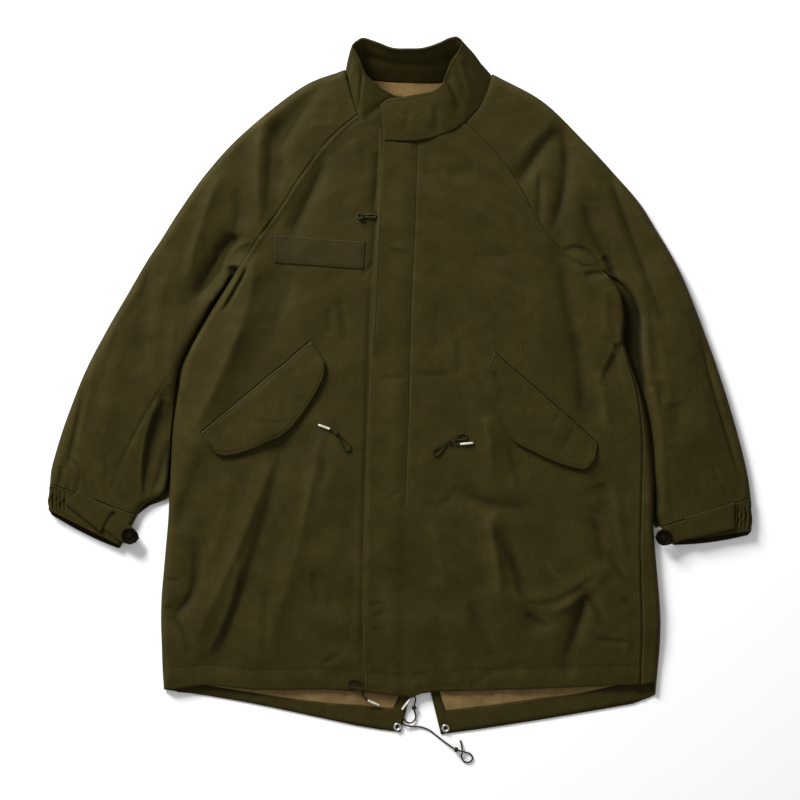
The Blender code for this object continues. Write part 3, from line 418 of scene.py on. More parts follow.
# ---------------------------------------------------------------- folds
# each runs through three points; width is half the fold's, height is up for a ridge
#     x0    y0    x1    y1    x2    y2  width height
FOLDS = (
    (-184, -131, -223, -250, -279, -356, 24,  5.0),
    (-169,  -90, -209, -257, -261, -390, 18, -4.0),
    (-221,   92, -272,  -29, -306, -150, 22,  3.5),
    ( -99, -102, -151, -241, -179, -356, 22,  3.0),
    (-106,  314, -130,  260, -151,  211, 18, -3.0),
    (-163,  163, -172,  120, -181,   73, 16, -2.5),
    (-215,  163, -229,  100, -242,   36, 16,  2.5),
    (-283, -226, -289, -290, -318, -323, 14, -3.0),
    ( 223,  174,  240,   94,  261,  -32, 18, -4.0),
    (  97, -151,  124, -163,  175, -169, 15, -3.0),
    ( 124, -189,  132, -241,  137, -290, 14,  3.0),
    ( 145, -216,  169, -271,  188, -330, 18, -4.0),
    ( 175, -300,  212, -300,  279, -261, 16,  3.5),
    ( 257, -293,  245, -334,  232, -391, 14, -5.0),
    (  25, -276,   99, -321,  140, -393, 26, -3.5),
    ( 118,  -14,  124,  -77,  126, -132, 22,  2.5),
    ( 272, -188,  277, -230,  289, -265, 14, -2.5),
    (-229,  193, -257,  159, -284,  124, 18, -6.0),
    (-190,  375, -194,  300, -197,  214, 16,  3.5),
    (-172,  358, -175,  300, -178,  224, 14, -3.0),
    (-442,   -1, -456,  -60, -466, -114, 13, -3.0),
    (-316,  -30, -330,  -80, -337, -130, 20, -8.0),
    (-103,  433, -139,  390, -169,  354, 14, -3.0),
    ( 226,  367,  227,  299,  221,  196, 16, -4.0),
    ( 218,  350,  195,  323,  169,  296, 14, -2.5),
    ( 263,  254,  282,  214,  303,  151, 16, -4.0),
    ( 290,  299,  321,  208,  363,  102, 15, -2.5),
    ( 411,   98,  434,    8,  479, -134, 12, -2.0),
    ( 330,   60,  350,   20,  366,  -60, 18,  2.5),
    (-390,  120, -400,   40, -410,  -60, 26,  3.0),
    ( 380,  150,  400,   60,  412,  -60, 26,  3.0))

# the front's lower edge as it shows, a little above the solid's on the right
FRONT_HEM = ((-335, -422), (-316, -423), (-274, -417), (-246, -420), (-200, -424), (-140, -424),
             (-108, -423), (-52, -427), (-6, -432), (17, -434), (30, -429), (56, -426), (112, -425),
             (196, -422), (279, -419), (340, -416), (360, -412))
HEM_X = [r[0] for r in HEM]
FRONT_HEM_X = [r[0] for r in FRONT_HEM]
HEM_FRONT = [r[1] for r in FRONT_HEM]
HEM_BACK = [r[2] for r in HEM]

# ---------------------------------------------------------------- creases
# soft troughs and ridges: each runs through three points and dies away at both ends;
# left and right are how far it spreads to either side of its way, height is up for a ridge
#     x0    y0    x1    y1    x2    y2 left right height
BODY_CREASES = (
    (-105,  314, -126,  263, -153,  209,  11,   8, -3.9),
    ( -32,  328,  -33,  280,  -39,  239, 3.5,   9, -2.3),
    ( -67,  342,  -60,  323,  -58,  298,   9,   9,  1.6),
    (-153,  162, -160,  117, -181,   81,  10, 12.5, -2.3),
    ( -84,  123,  -79,   90,  -78,   57, 6.5, 6.5, -1.7),
    (-102,  108,  -99,   90,  -96,   72, 5.5, 5.5, -1.4),
    ( -36,  171,  -46,  161,  -54,  150, 3.5, 4.5, -1.3),
    (-205,  184, -210,  120, -238,   39, 12.5,  10,  3.4),
    (-220,   86, -253,    8, -289,  -62,  10,  10,  3.1),
    (-289,   58, -303,   19, -309,  -19, 4.5, 3.5, -2.3),
    (-274,  -89, -295, -152, -312, -204, 13.5, 13.5, -3.1),
    (-171,  -85, -218, -207, -288, -357, 6.5, 13.5,  2.6),
    (-169, -102, -202, -228, -256, -378, 6.5, 6.5, -2.2),
    (-287, -225, -288, -281, -316, -320, 5.5, 4.5, -3.0),
    (-316, -320, -302, -345, -292, -378, 4.5, 4.5, -2.3),
    (-109,  -59, -131, -166, -181, -360, 6.5, 14.5,  2.5),
    (-106, -102, -106, -120, -111, -138, 5.5, 5.5, -1.7),
    (-120, -255, -117, -284, -113, -310, 5.5, 6.5, -2.0),
    (-187, -282, -188, -328, -190, -378, 6.5, 6.5, -2.1),
    (-113, -389,  -97, -381,  -81, -371, 4.5, 4.5, -1.3),
    (-326, -270, -317, -271, -307, -273, 3.5, 3.5, -1.6),
    (-328, -310, -323, -310, -317, -311, 3.5, 3.5, -1.3),
    ( -63, -117,  -70, -186,  -83, -242, 15.5, 15.5, -1.6),
    ( -83,  273,  -77,  238,  -67,  206,  10,  10, -1.0),
    (-139,  -13, -131,  -22, -118,  -31, 6.5, 6.5, -1.3),
    (-236, -117, -248, -186, -267, -242,  11,  11,  1.8),
    (  42,  328,   39,  307,   42,  289,   8,   8, -1.0),
    (  66,  292,   86,  298,  106,  300,  10,  10, -1.8),
    ( 100,  184,  134,  181,  169,  189,  10,  10, -2.1),
    ( 225,  168,  234,  106,  253,   45, 6.5,   9, -2.3),
    ( 241,   74,  252,   15,  250,  -40, 6.5,   8, -2.6),
    ( 278,   19,  282,  -19,  289,  -71,   9,   9,  2.5),
    (  24,   18,   49,   15,   72,   17, 4.5, 3.5, -1.3),
    (  82,   68,   82,   43,   81,   17, 6.5, 6.5, -1.6),
    ( 116,  -40,  124,  -82,  125, -131,   9,   9,  2.6),
    (  97, -150,  131, -166,  175, -168, 6.5,   8, -2.6),
    ( 103, -182,  111, -186,  120, -189, 5.5, 5.5, -1.3),
    (  28, -164,   64, -160,   79, -138,   9,   9, -1.8),
    ( 125, -189,  134, -242,  139, -291, 5.5,  11,  2.9),
    ( 142, -216,  163, -262,  175, -316, 6.5, 6.5, -3.1),
    ( 175, -316,  191, -328,  209, -337, 5.5, 5.5, -2.3),
    ( 175, -300,  220, -298,  278, -258, 6.5, 6.5, -2.9),
    ( 209, -313,  234, -305,  256, -289, 6.5, 6.5,  2.3),
    ( 257, -291,  248, -334,  232, -378,   6,   8, -4.0),
    ( 257, -291,  273, -312,  281, -339, 5.5, 5.5, -2.9),
    ( 268, -353,  295, -355,  320, -357, 3.5, 4.5, -2.0),
    ( 271, -189,  278, -214,  282, -249, 5.5, 5.5, -2.1),
    ( 278, -134,  282, -159,  278, -184, 14.5, 14.5, -3.4),
    ( 289, -228,  305, -260,  323, -282, 6.5, 5.5, -2.3),
    ( 307, -298,  317, -302,  328, -306, 4.5, 4.5, -1.3),
    (  28, -264,   70, -268,  100, -300, 12.5, 12.5, -2.0),
    (  97, -298,  113, -342,  139, -392,  10,  10, -2.1),
    (  65, -345,   65, -367,   65, -394, 2.5, 2.5, -1.0),
    ( 181,  328,  195,  273,  202,  217, 13.5, 13.5,  2.1),
    (  56,  120,   50,   78,   56,   47,   9,   9, -1.2),
    (-213,  164, -228,  136, -248,  102, 2.2, 2.2, -5.5),
    ( 335,   95,  303,   50,  277,   -3, 15.5, 3.5, -4.4),
    ( 256,  152,  270,  157,  287,  156, 3.5, 5.5, -3.1),
    ( 284,  153,  302,  145,  306,  120, 2.5, 2.5,  2.1),
    ( 287,  139,  284,  106,  287,   64,   8,   8,  1.8),
    ( -40, -306,  -33, -303,  -26, -300, 2.5, 2.5, -1.2),
    ( -39, -323,  -31, -319,  -22, -313, 2.5, 2.5, -1.2),
    ( -40, -342,  -33, -339,  -28, -338, 2.5, 2.5, -1.0),
    (  97,   19,  114,   -8,  122,  -47,   9,  11, -1.6),
    (-139, -131, -145, -214, -167, -298, 5.5,  10, -1.6),
    ( -61, -242,  -67, -298,  -72, -367, 5.5,   8, -1.2),
    (-223, -242, -239, -312, -270, -374, 4.5,   8,  2.9),
    (  97, -423,  139, -395,  195, -392, 6.5, 6.5, -1.3),
    (  56, -298,   67, -353,   72, -409,   9,   9,  1.2),
    ( 292, -131,  303, -186,  309, -242, 6.5, 6.5,  1.6),
    ( 317, -242,  326, -284,  328, -353, 5.5, 5.5, -1.7),
    ( 206, -242,  217, -263,  236, -275, 5.5, 5.5,  1.6),
    ( 150,  -75,  161, -117,  170, -159,   8, 5.5, -1.7),
    (  42, -186,   56, -242,   61, -298,   8,  10,  1.3),
    (-139,  314, -114,  328,  -89,  331,  11,  11,  1.2),
    ( -29,  334,  -33,  238,  -40,  140, 2.5, 6.5, -2.6),
    ( -40,  161,  -46,  -61,  -54, -423, 2.5, 5.5, -2.3),
    ( -24, -164,  -11, -153,    0, -143, 3.5, 3.5, -1.2),
    ( -30,   10,  -13,   11,    6,   12, 3.5, 3.5, -1.0),
    ( -15,  189,    0,  186,   15,  184, 3.5, 4.5, -1.0),
    ( -39,  -47,  -22,  -53,   -6,  -49, 4.5, 4.5, -0.8),
    ( -21, -298,  -28, -326,  -22, -360, 6.5, 6.5, -1.2))
#     x0    y0    x1    y1    x2    y2 left right height
SLEEVE_CREASES = (
    (-440,   -1, -451,  -58, -463, -113, 4.5, 3.5, -3.4),
    (-312,   28, -367,  -64, -405, -150, 2.5, 2.5, -1.0),
    (-232,  274, -232,  207, -284,  122,  10,  10, -3.4),
    (-248,  298, -278,  223, -296,  147,  10,  10,  3.9),
    (-191,  372, -199,  298, -196,  214, 6.5,   8,  1.7),
    (-181,  346, -183,  298, -186,  238, 5.5, 5.5, -2.1),
    (-168,  316, -165,  298, -166,  280, 6.5, 6.5, -1.4),
    (-102,  428, -138,  388, -167,  352,   9,   9, -1.3),
    (-127,  362, -109,  363,  -90,  364, 5.5, 5.5,  1.3),
    (-328,  -18, -351,  -77, -357, -163,  22,   2, -9.0),
    (-323,    3, -330,  -13, -337,  -28,   9, 4.5, -2.1),
    (-213,  163, -228,  135, -246,  103,   4,   3, -6.0),
    (-231,  167, -235,  153, -242,  136,   6,   6, -13.0),
    (-257,  113, -263,  102, -268,   88,   6,   5, -12.0),
    (-228,  211, -253,  172, -285,  120,   8,  12, -7.0),
    (-326,  -75, -334, -117, -346, -156,   6,   5, -5.0),
    (-483, -114, -480, -128, -481, -142, 2.5, 2.5,  2.1),
    (-473, -111, -472, -125, -476, -142, 2.5, 2.5, -2.1),
    (-465, -117, -465, -131, -469, -145, 2.5, 2.5,  1.8),
    ( 476, -134,  479, -147,  481, -159, 2.5, 2.5,  1.8),
    ( 484, -128,  487, -142,  488, -156, 2.5, 2.5, -2.1),
    ( 467, -139,  469, -150,  470, -161, 2.5, 2.5, -1.6),
    (-392,  120, -412,   64, -428,    8,   8,  11, -1.8),
    (-362,  217, -381,  172, -401,  120,  11,   9,  1.6),
    (-437,   78, -448,   19, -465,  -33, 4.5, 5.5, -1.3),
    (-317,  239, -345,  172, -362,  111, 6.5,   9, -1.8),
    (-278,  328, -298,  287, -320,  239,  10,   8,  1.6),
    (-209,  392, -228,  370, -256,  328,   8,   9, -1.6),
    (-348,  287, -317,  259, -284,  239,   9,   9, -1.2),
    (-120,  398, -145,  366, -166,  328,  10, 6.5, -2.6),
    (-424,   50, -434,  -19, -453,  -89, 5.5,  10,  1.8),
    (-378,  120, -401,   50, -423,  -19,  10, 6.5, -1.6),
    ( 384,  189,  403,  120,  426,   50,   9, 6.5,  1.6),
    ( 345,  120,  356,   50,  364,  -19, 5.5,   9, -1.8),
    ( 448,  -19,  465,  -75,  479, -131, 6.5,   9, -1.7),
    ( 373, -117,  378, -159,  381, -179, 4.5, 4.5, -1.6),
    ( 442, -117,  448, -145,  453, -167, 4.5, 4.5,  1.3),
    (-473, -117, -467, -139, -465, -159,   3,   3, -1.6),
    (-440, -117, -437, -139, -431, -156, 3.5, 3.5, -1.4),
    (-423, -131, -417, -147, -412, -164, 3.5, 3.5,  1.3),
    (-205,  202, -236,  188, -247,  162, 5.5, 4.5,  2.9),
    (-217,  214, -239,  198, -259,  189, 4.5, 4.5, -2.3),
    (-463, -100, -445, -121, -454, -151, 3.5, 3.5, -2.1),
    (-412,  -93, -408, -114, -409, -136, 4.5, 4.5, -1.3),
    (-383, -150, -377, -170, -373, -189, 3.5, 3.5, -2.1),
    (-392, -142, -387, -159, -384, -178, 3.5, 3.5, -1.6),
    (-357,  172, -352,   92, -364,   15, 14.5, 14.5, -2.5),
    (-316,   97, -321,   28, -331,  -15,   8,   8,  1.7),
    (-389,   50, -401,  -19, -412,  -75, 15.5, 15.5,  1.7),
    (-309,  189, -334,  120, -348,   64, 13.5, 13.5,  1.8),
    (-271,  252, -292,  203, -312,  153, 13.5, 13.5, -2.1),
    (-156,  391, -181,  359, -209,  314, 12.5, 12.5,  1.8),
    ( 221,  356,  196,  331,  166,  284, 5.5,   8, -4.4),
    ( 225,  362,  230,  292,  211,  211, 4.5, 6.5, -3.4),
    ( 196,  298,  194,  264,  197,  231, 4.5, 4.5, -2.9),
    ( 260,  252,  267,  220,  300,  156,   9,   8, -3.9),
    ( 284,  181,  294,  167,  305,  147,   4,   6, -5.0),
    ( 229,  189,  259,  189,  289,  156,   3, 6.5, -3.4),
    ( 236,  352,  239,  344,  242,  335, 3.5, 3.5, -1.3),
    ( 288,  298,  309,  248,  328,  198, 4.5,  11, -1.6),
    ( 289,  298,  330,  189,  374,   72, 3.5, 3.5, -1.7),
    ( 278,  292,  319,  184,  362,   70,   8,   8,  2.0),
    ( 407,  114,  440,  -19,  485, -163, 3.5,   3, -2.9),
    ( 341,    1,  359,   -4,  362,  -29, 4.5, 4.5, -2.1),
    ( 351,   11,  373,    3,  373,  -33, 5.5, 5.5,  1.6),
    ( 383,  -22,  385,  -47,  383,  -77, 15.5, 15.5, -2.6),
    ( 434, -107,  445, -135,  462, -164, 3.5, 3.5, -2.1),
    ( 355,  -89,  364, -131,  367, -172,  10,  10, -1.8),
    ( 403, -117,  409, -145,  417, -170, 5.5, 5.5,  1.2),
    ( 417,    8,  426,  -47,  440,  -96,  10,  10,  1.6),
    ( 362,   64,  373,   22,  403,   -8, 13.5, 13.5,  1.7),
    ( 195,  356,  181,  342,  167,  328, 6.5, 6.5,  1.3),
    ( 243,  328,  264,  294,  278,  259,  10,  10,  2.1),
    ( 306,  259,  334,  203,  362,  147,  11,  11, -1.3))

CREASE_PARTS = 14
CREASE_SHAPE = 1.6
CREASE_REACH = 2.4  # widths off a crease at which its height is left out
FAR = 1e9
NOISE = ((62.0, 1.2, 11), (27.0, 0.75, 12), (13.0, 0.26, 13))  # patch size, height, seed


def ease(t):
    t = np.clip(t, 0.0, 1.0)
    return t * t * (3 - 2 * t)


def hump(distance, width):
    """A soft hump, 1 at no distance and next to nothing at twice its width."""
    return np.exp(-(distance / width) ** 2)


def noise(x, y, size, seed):
    """Soft rises and hollows a patch apart, from -1 to 1."""
    table = np.random.RandomState(seed).uniform(-1, 1, (64, 64))
    u, w = x / size + 32, y / size + 32
    i, j = np.floor(u).astype(int), np.floor(w).astype(int)
    s, t = ease(u - i), ease(w - j)
    i, j = i % 63, j % 63
    low = table[i, j] * (1 - s) + table[i + 1, j] * s
    high = table[i, j + 1] * (1 - s) + table[i + 1, j + 1] * s
    return low * (1 - t) + high * t


def bent_line(row):
    """Points along the soft curve through a crease's three points."""
    a, b, c = (np.array(row[k:k + 2], float) for k in (0, 2, 4))
    middle = 2 * b - (a + c) / 2
    t = np.linspace(0, 1, CREASE_PARTS + 1)[:, None]
    return (1 - t) ** 2 * a + 2 * t * (1 - t) * middle + t * t * c


def crease(x, y, row):
    """The height that one crease adds at each place."""
    left, right, height = row[6:9]
    line = bent_line(row)
    rise = np.zeros(x.shape)
    room = CREASE_REACH * max(left, right)
    near = ((x > line[:, 0].min() - room) & (x < line[:, 0].max() + room)
            & (y > line[:, 1].min() - room) & (y < line[:, 1].max() + room))
    if not near.any():
        return rise
    px, py = x[near], y[near]
    best = np.full(px.shape, FAR)
    side = np.zeros(px.shape)
    run = np.zeros(px.shape)
    for k in range(CREASE_PARTS):
        (ax, ay), (bx, by) = line[k], line[k + 1]
        dx, dy = bx - ax, by - ay
        t = np.clip(((px - ax) * dx + (py - ay) * dy) / (dx * dx + dy * dy), 0, 1)
        off = np.hypot(px - ax - t * dx, py - ay - t * dy)
        closer = off < best
        best = np.where(closer, off, best)
        side = np.where(closer, dx * (py - ay) - dy * (px - ax), side)
        run = np.where(closer, (k + t) / CREASE_PARTS, run)
    width = np.where(side > 0, left, right)
    fade = 1 - (2 * run - 1) ** 4
    rise[near] = height * fade * np.exp(-(best / width) ** CREASE_SHAPE)
    return rise


def folds(x, y):
    """The main folds, as the part's solids have them."""
    rise = np.zeros(np.shape(x))
    for x0, y0, x1, y1, x2, y2, width, height in FOLDS:
        near = np.full(rise.shape, FAR)
        for ax, ay, bx, by in ((x0, y0, x1, y1), (x1, y1, x2, y2)):
            dx, dy = bx - ax, by - ay
            t = np.clip(((x - ax) * dx + (y - ay) * dy) / (dx * dx + dy * dy), 0, 1)
            near = np.minimum(near, np.hypot(x - ax - t * dx, y - ay - t * dy))
        rise += height * hump(near, width)
    return rise


def rumple(x, y, table):
    rise = sum(height * noise(x, y, size, seed) for size, height, seed in NOISE)
    for row in table:
        rise = rise + crease(x, y, row)
    return rise


LOWEST = 4.2  # no crease sinks below this: the under cloth lies there
CUFF_CREASE = 0.4  # share of the creases' height left at the cuff


def body_top(x, y):
    full = ease((y - np.interp(x, FRONT_HEM_X, HEM_FRONT)) / OPEN_HEM)
    base = HEM_H + (BODY_H - HEM_H) * full
    top = base + folds(x, y) * (OPEN_FOLD + (1 - OPEN_FOLD) * full) + rumple(x, y, BODY_CREASES)
    return np.maximum(top, LOWEST)


def sleeve_top(x, y):
    base = BODY_H + (SLEEVE_H - BODY_H) * ease((SWELL_Y - y) / SWELL_REACH)
    full = ease((y - CUFF_Y) / CUFF_REACH)
    share = CUFF_FOLD + (1 - CUFF_FOLD) * full
    creased = rumple(x, y, SLEEVE_CREASES) * (CUFF_CREASE + (1 - CUFF_CREASE) * full)
    return np.maximum(CUFF_H + (base - CUFF_H) * full + folds(x, y) * share + creased, LOWEST)


# ---------------------------------------------------------------- table reading
def smooth(rows, v, column):
    """A column of a station table read between its rows with a soft curve through them."""
    v = np.asarray(v, float)
    p = [r[column] for r in rows]
    p = np.array([2 * p[0] - p[1]] + p + [2 * p[-1] - p[-2]], float)
    i = np.clip(np.floor(v).astype(int), 0, len(rows) - 2)
    t = v - i
    a, b, c, d = p[i], p[i + 1], p[i + 2], p[i + 3]
    return 0.5 * (2 * b + (c - a) * t + (2 * a - 5 * b + 4 * c - d) * t * t
                  + (3 * b - a - 3 * c + d) * t ** 3)


def read(rows, key, value, which):
    return np.interp(value, [r[key] for r in rows], [r[which] for r in rows])


def body_edge(v, left):
    k = 2 if left else 0
    return smooth(BODY_ROWS, v, k), smooth(BODY_ROWS, v, k + 1)


def roll(v):
    return np.interp(v, range(len(BODY_ROWS)), [r[6] for r in BODY_ROWS])


def rolled(a, top, much, radius):
    """Distance in from the edge and height at a steps round it: -1 under, 0 at the edge, 1 on top."""
    sine, cosine = np.sin(np.clip(a, -1, 1) * np.pi / 2), np.cos(np.clip(a, -1, 1) * np.pi / 2)
    flat = np.maximum(np.asarray(a, float) - 1, 0) * radius * np.pi / 2
    upper = radius * (1 - cosine) + flat
    lower = ROUND_UNDER * (1 - cosine)
    return (np.where(a >= 0, upper, lower),
            np.where(a >= 0, top - much * (top - SIDE_Z) * (1 - sine), much * SIDE_Z * (1 + sine)))


def seam_step(wrap):
    inner = np.arccos(np.clip(1 - wrap / ROUND, -1, 1)) / (np.pi / 2)
    return np.where(wrap < ROUND, inner, 1 + (wrap - ROUND) / (ROUND * np.pi / 2))


# ---------------------------------------------------------------- seams
# a felled seam: a groove where the pieces meet, then the folded allowance with two rows of stitches
FELL_WIDTH = 8.5
FELL_RISE = 0.8
FELL_FADE = 1.5
FELL_ROWS = (1.8, 7.0)
GROOVE = 1.3
GROOVE_WIDTH = 1.1
STITCH_DIP = 0.6
STITCH_DIP_WIDTH = 0.9


def seam_relief(distance, felled=True):
    """Height beside a seam at a distance from it."""
    rise = -GROOVE * hump(distance, GROOVE_WIDTH)
    if felled:
        rise = rise + FELL_RISE * (1 - ease((distance - FELL_WIDTH + 1) / FELL_FADE))
        for row in FELL_ROWS:
            rise = rise - STITCH_DIP * hump(distance - row, STITCH_DIP_WIDTH)
    return rise


# ---------------------------------------------------------------- the body's panels
EDGE_CELLS = 3
FLAT_CELLS = 14
FLAP_RAMP = 24.0  # how far in from its sewn edge the storm flap takes to rise over the right front
FLAP_RISE = 2.7
FLAP_EDGE_LIFT = 0.8
FLAP_EDGE_REACH = 14.0  # how far in from the free edge that lift shows
FLAP_EDGE_DROP, FLAP_EDGE_WIDTH = 0.9, 1.2
FLAP_WAVE = 0.6
FLAP_PATCH = (38.0, 21)  # patch size, seed
FLAP_STITCH = 3.8
FLAP_STITCH_DIP = 0.5
FLAP_SEAM_END = -172.0  # the storm flap's sewn edge shows above this
FLAP_SEAM_FADE = 12
FLAP_ROWS = (2.0, 6.4)
HEM_BEND = 2.5  # rows up from the hem that bend to its line
NECK_BEND = 2


def zip_line(y):
    return (read(PLACKET, 0, y, 1) + read(PLACKET, 0, y, 2)) / 2


def along_row(left, v, d):
    """The place d in from the side on row v, past the zip along the other front's row."""
    ex, ey = body_edge(v, left)
    cy = smooth(BODY_ROWS, v, 5)
    cx = zip_line(cy) + (0.0 if left else -SEAM / 2)
    length = np.hypot(cx - ex, cy - ey)
    wx, wy = (cx - ex) / length, (cy - ey) / length
    ox, oy = body_edge(v, not left)
    other = np.hypot(ox - cx, oy - cy)
    over = np.maximum(d - length, 0)
    x = ex + wx * np.minimum(d, length) + (ox - cx) / other * over
    y = ey + wy * np.minimum(d, length) + (oy - cy) / other * over
    return x, y, wx, length


def hem_and_neck(left, v, x, y, share):
    """Bends the lowest rows to the hem's line and the highest to the neck seam's."""
    side = body_edge(0, left)[1]
    row0 = side + (BODY_ROWS[0][5] - side) * np.clip(share, 0, 1)
    y = y + ease(1 - v / HEM_BEND) * (np.interp(x, FRONT_HEM_X, HEM_FRONT) - row0)
    top = body_edge(NECK, left)[1]
    row23 = top + (BODY_ROWS[NECK][5] - top) * np.clip(share, 0, 1)
    return y + ease((v - NECK + NECK_BEND) / NECK_BEND) * (read(FRONT_NECK, 0, x, 1) - row23)


CHANNEL = 29.0  # how far the drawcord channel's stitches lie above the front hem
CHANNEL_PUFF = 0.8
CHANNEL_STITCH_DIP, CHANNEL_STITCH_WIDTH = 0.55, 1.1
HEM_DROP, HEM_DROP_WIDTH = 0.8, 1.5  # the turned edge rounds down
FINE_PUCKER, WIDE_PUCKER = (9.0, 71), (21.0, 72)  # patch size, seed
PUCKER = 0.55
PUCKER_AT, PUCKER_WIDTH = 20.0, 14.0


def hem_relief(x, y):
    """The hem's drawcord channel: a row of stitches with the cloth puffed and puckered below it."""
    up = y - np.interp(x, FRONT_HEM_X, HEM_FRONT)
    pucker = noise(x, y * 0.25, *FINE_PUCKER) + 0.7 * noise(x, y * 0.3, *WIDE_PUCKER)
    puff = CHANNEL_PUFF * hump(up - CHANNEL / 2, CHANNEL / 3)
    row = -CHANNEL_STITCH_DIP * hump(up - CHANNEL, CHANNEL_STITCH_WIDTH)
    edge = -HEM_DROP * hump(up, HEM_DROP_WIDTH)
    return puff + row + edge + PUCKER * pucker * hump(up - PUCKER_AT, PUCKER_WIDTH)


def front_column(left, c, v):
    """One column of a front's outer face, from the side seam (c = 0) to the zip (c = 18)."""
    wrap = np.maximum(smooth(BODY_ROWS, v, 4), 0.0)
    start = EDGE_START + (seam_step(wrap) if left else 0.0)
    ex, _ = body_edge(v, left)
    _, _, wx, length = along_row(left, v, 0.0)
    cy = smooth(BODY_ROWS, v, 5)
    placket = read(PLACKET, 0, cy, 2 if left else 1)
    reach = np.abs(placket - ex) / np.maximum(np.abs(wx), 0.2)
    radius = np.minimum(ROUND, reach / 4)
    first = rolled(start, 0.0, 0.0, radius)[0]
    if c <= EDGE_CELLS:
        a = start + c / EDGE_CELLS
        gx, gy, _, _ = along_row(left, v, np.minimum(a, 1) * radius)
        d, z = rolled(a, body_top(gx, gy), roll(v), radius)
    else:
        d0 = rolled(start + 1, 0.0, 0.0, radius)[0]
        d = d0 + (reach - d0) * min((c - EDGE_CELLS) / FLAT_CELLS, 1)
        d = d + (length - reach) * max(c - EDGE_CELLS - FLAT_CELLS, 0)
        z = None
    x, y, _, _ = along_row(left, v, d)
    y = hem_and_neck(left, v, x, y, d / length)
    if z is None:
        z = body_top(x, y)
    seam_shows = 1.0 if left else ease(v - UNDERARM + 1)
    z = z + hem_relief(x, y) + seam_relief(d - first) * seam_shows
    return np.stack([x, y, z], -1)


def flap_reach(v):
    """How far in from the left side the storm flap's sewn and free edges and the zip lie."""
    ex, _ = body_edge(v, True)
    _, _, wx, length = along_row(True, v, 0.0)
    cy = smooth(BODY_ROWS, v, 5)
    slope = np.abs(along_row(False, v, 0.0)[2])
    sewn = np.abs(read(PLACKET, 0, cy, 2) - ex) / np.abs(wx)
    return sewn, length + np.abs(read(PLACKET, 0, cy, 1) - zip_line(cy)) / slope, length


def flap_column(f, v):
    """One column of the storm flap, from its sewn edge (f = 0) to its free edge (f = 1)."""
    v = v - PLACKET_SLANT * f * ease(v - NECK + 2)
    sewn, free, length = flap_reach(v)
    d = sewn + (free - sewn) * f
    x, y, _, _ = along_row(True, v, d)
    y = hem_and_neck(True, v, x, y, d / length)
    inward, outward = d - sewn, free - d
    lift = FLAP_RISE + FLAP_EDGE_LIFT * ease(1 - outward / FLAP_EDGE_REACH)
    z = body_top(x, y) + lift * ease(inward / FLAP_RAMP)
    z = z + FLAP_WAVE * noise(x * 0 + 3, y, *FLAP_PATCH) * ease(inward / FLAP_RAMP)
    z = z + hem_relief(x, y) - FLAP_EDGE_DROP * hump(outward, FLAP_EDGE_WIDTH)
    z = z - FLAP_STITCH_DIP * hump(outward - FLAP_STITCH, STITCH_DIP_WIDTH)
    sewn_show = ease((y - FLAP_SEAM_END) / FLAP_SEAM_FADE)
    z = z - sewn_show * GROOVE * hump(inward, GROOVE_WIDTH)
    for row in FLAP_ROWS:
        z = z - sewn_show * STITCH_DIP * hump(inward - row, STITCH_DIP_WIDTH)
    return np.stack([x, y, z], -1)


BACK_EDGE = 3
BACK_FLAT = 4
BACK_WRAP = 5
BACK_COLUMNS = BACK_EDGE + BACK_FLAT + 1 + BACK_FLAT + BACK_WRAP


def back_edge(v, left):
    k = 2 if left else 0
    yoke = np.maximum(v - UNDERARM, 0)
    low = body_edge(np.minimum(v, UNDERARM), left)
    high = smooth(BACK_YOKE, yoke, k), smooth(BACK_YOKE, yoke, k + 1)
    return tuple(np.where(v <= UNDERARM, a, b) for a, b in zip(low, high))


def hem_chord(x):
    (ax, ay), (bx, by) = body_edge(0, False), body_edge(0, True)
    return ay + (by - ay) * np.clip((x - ax) / (bx - ax), 0, 1)


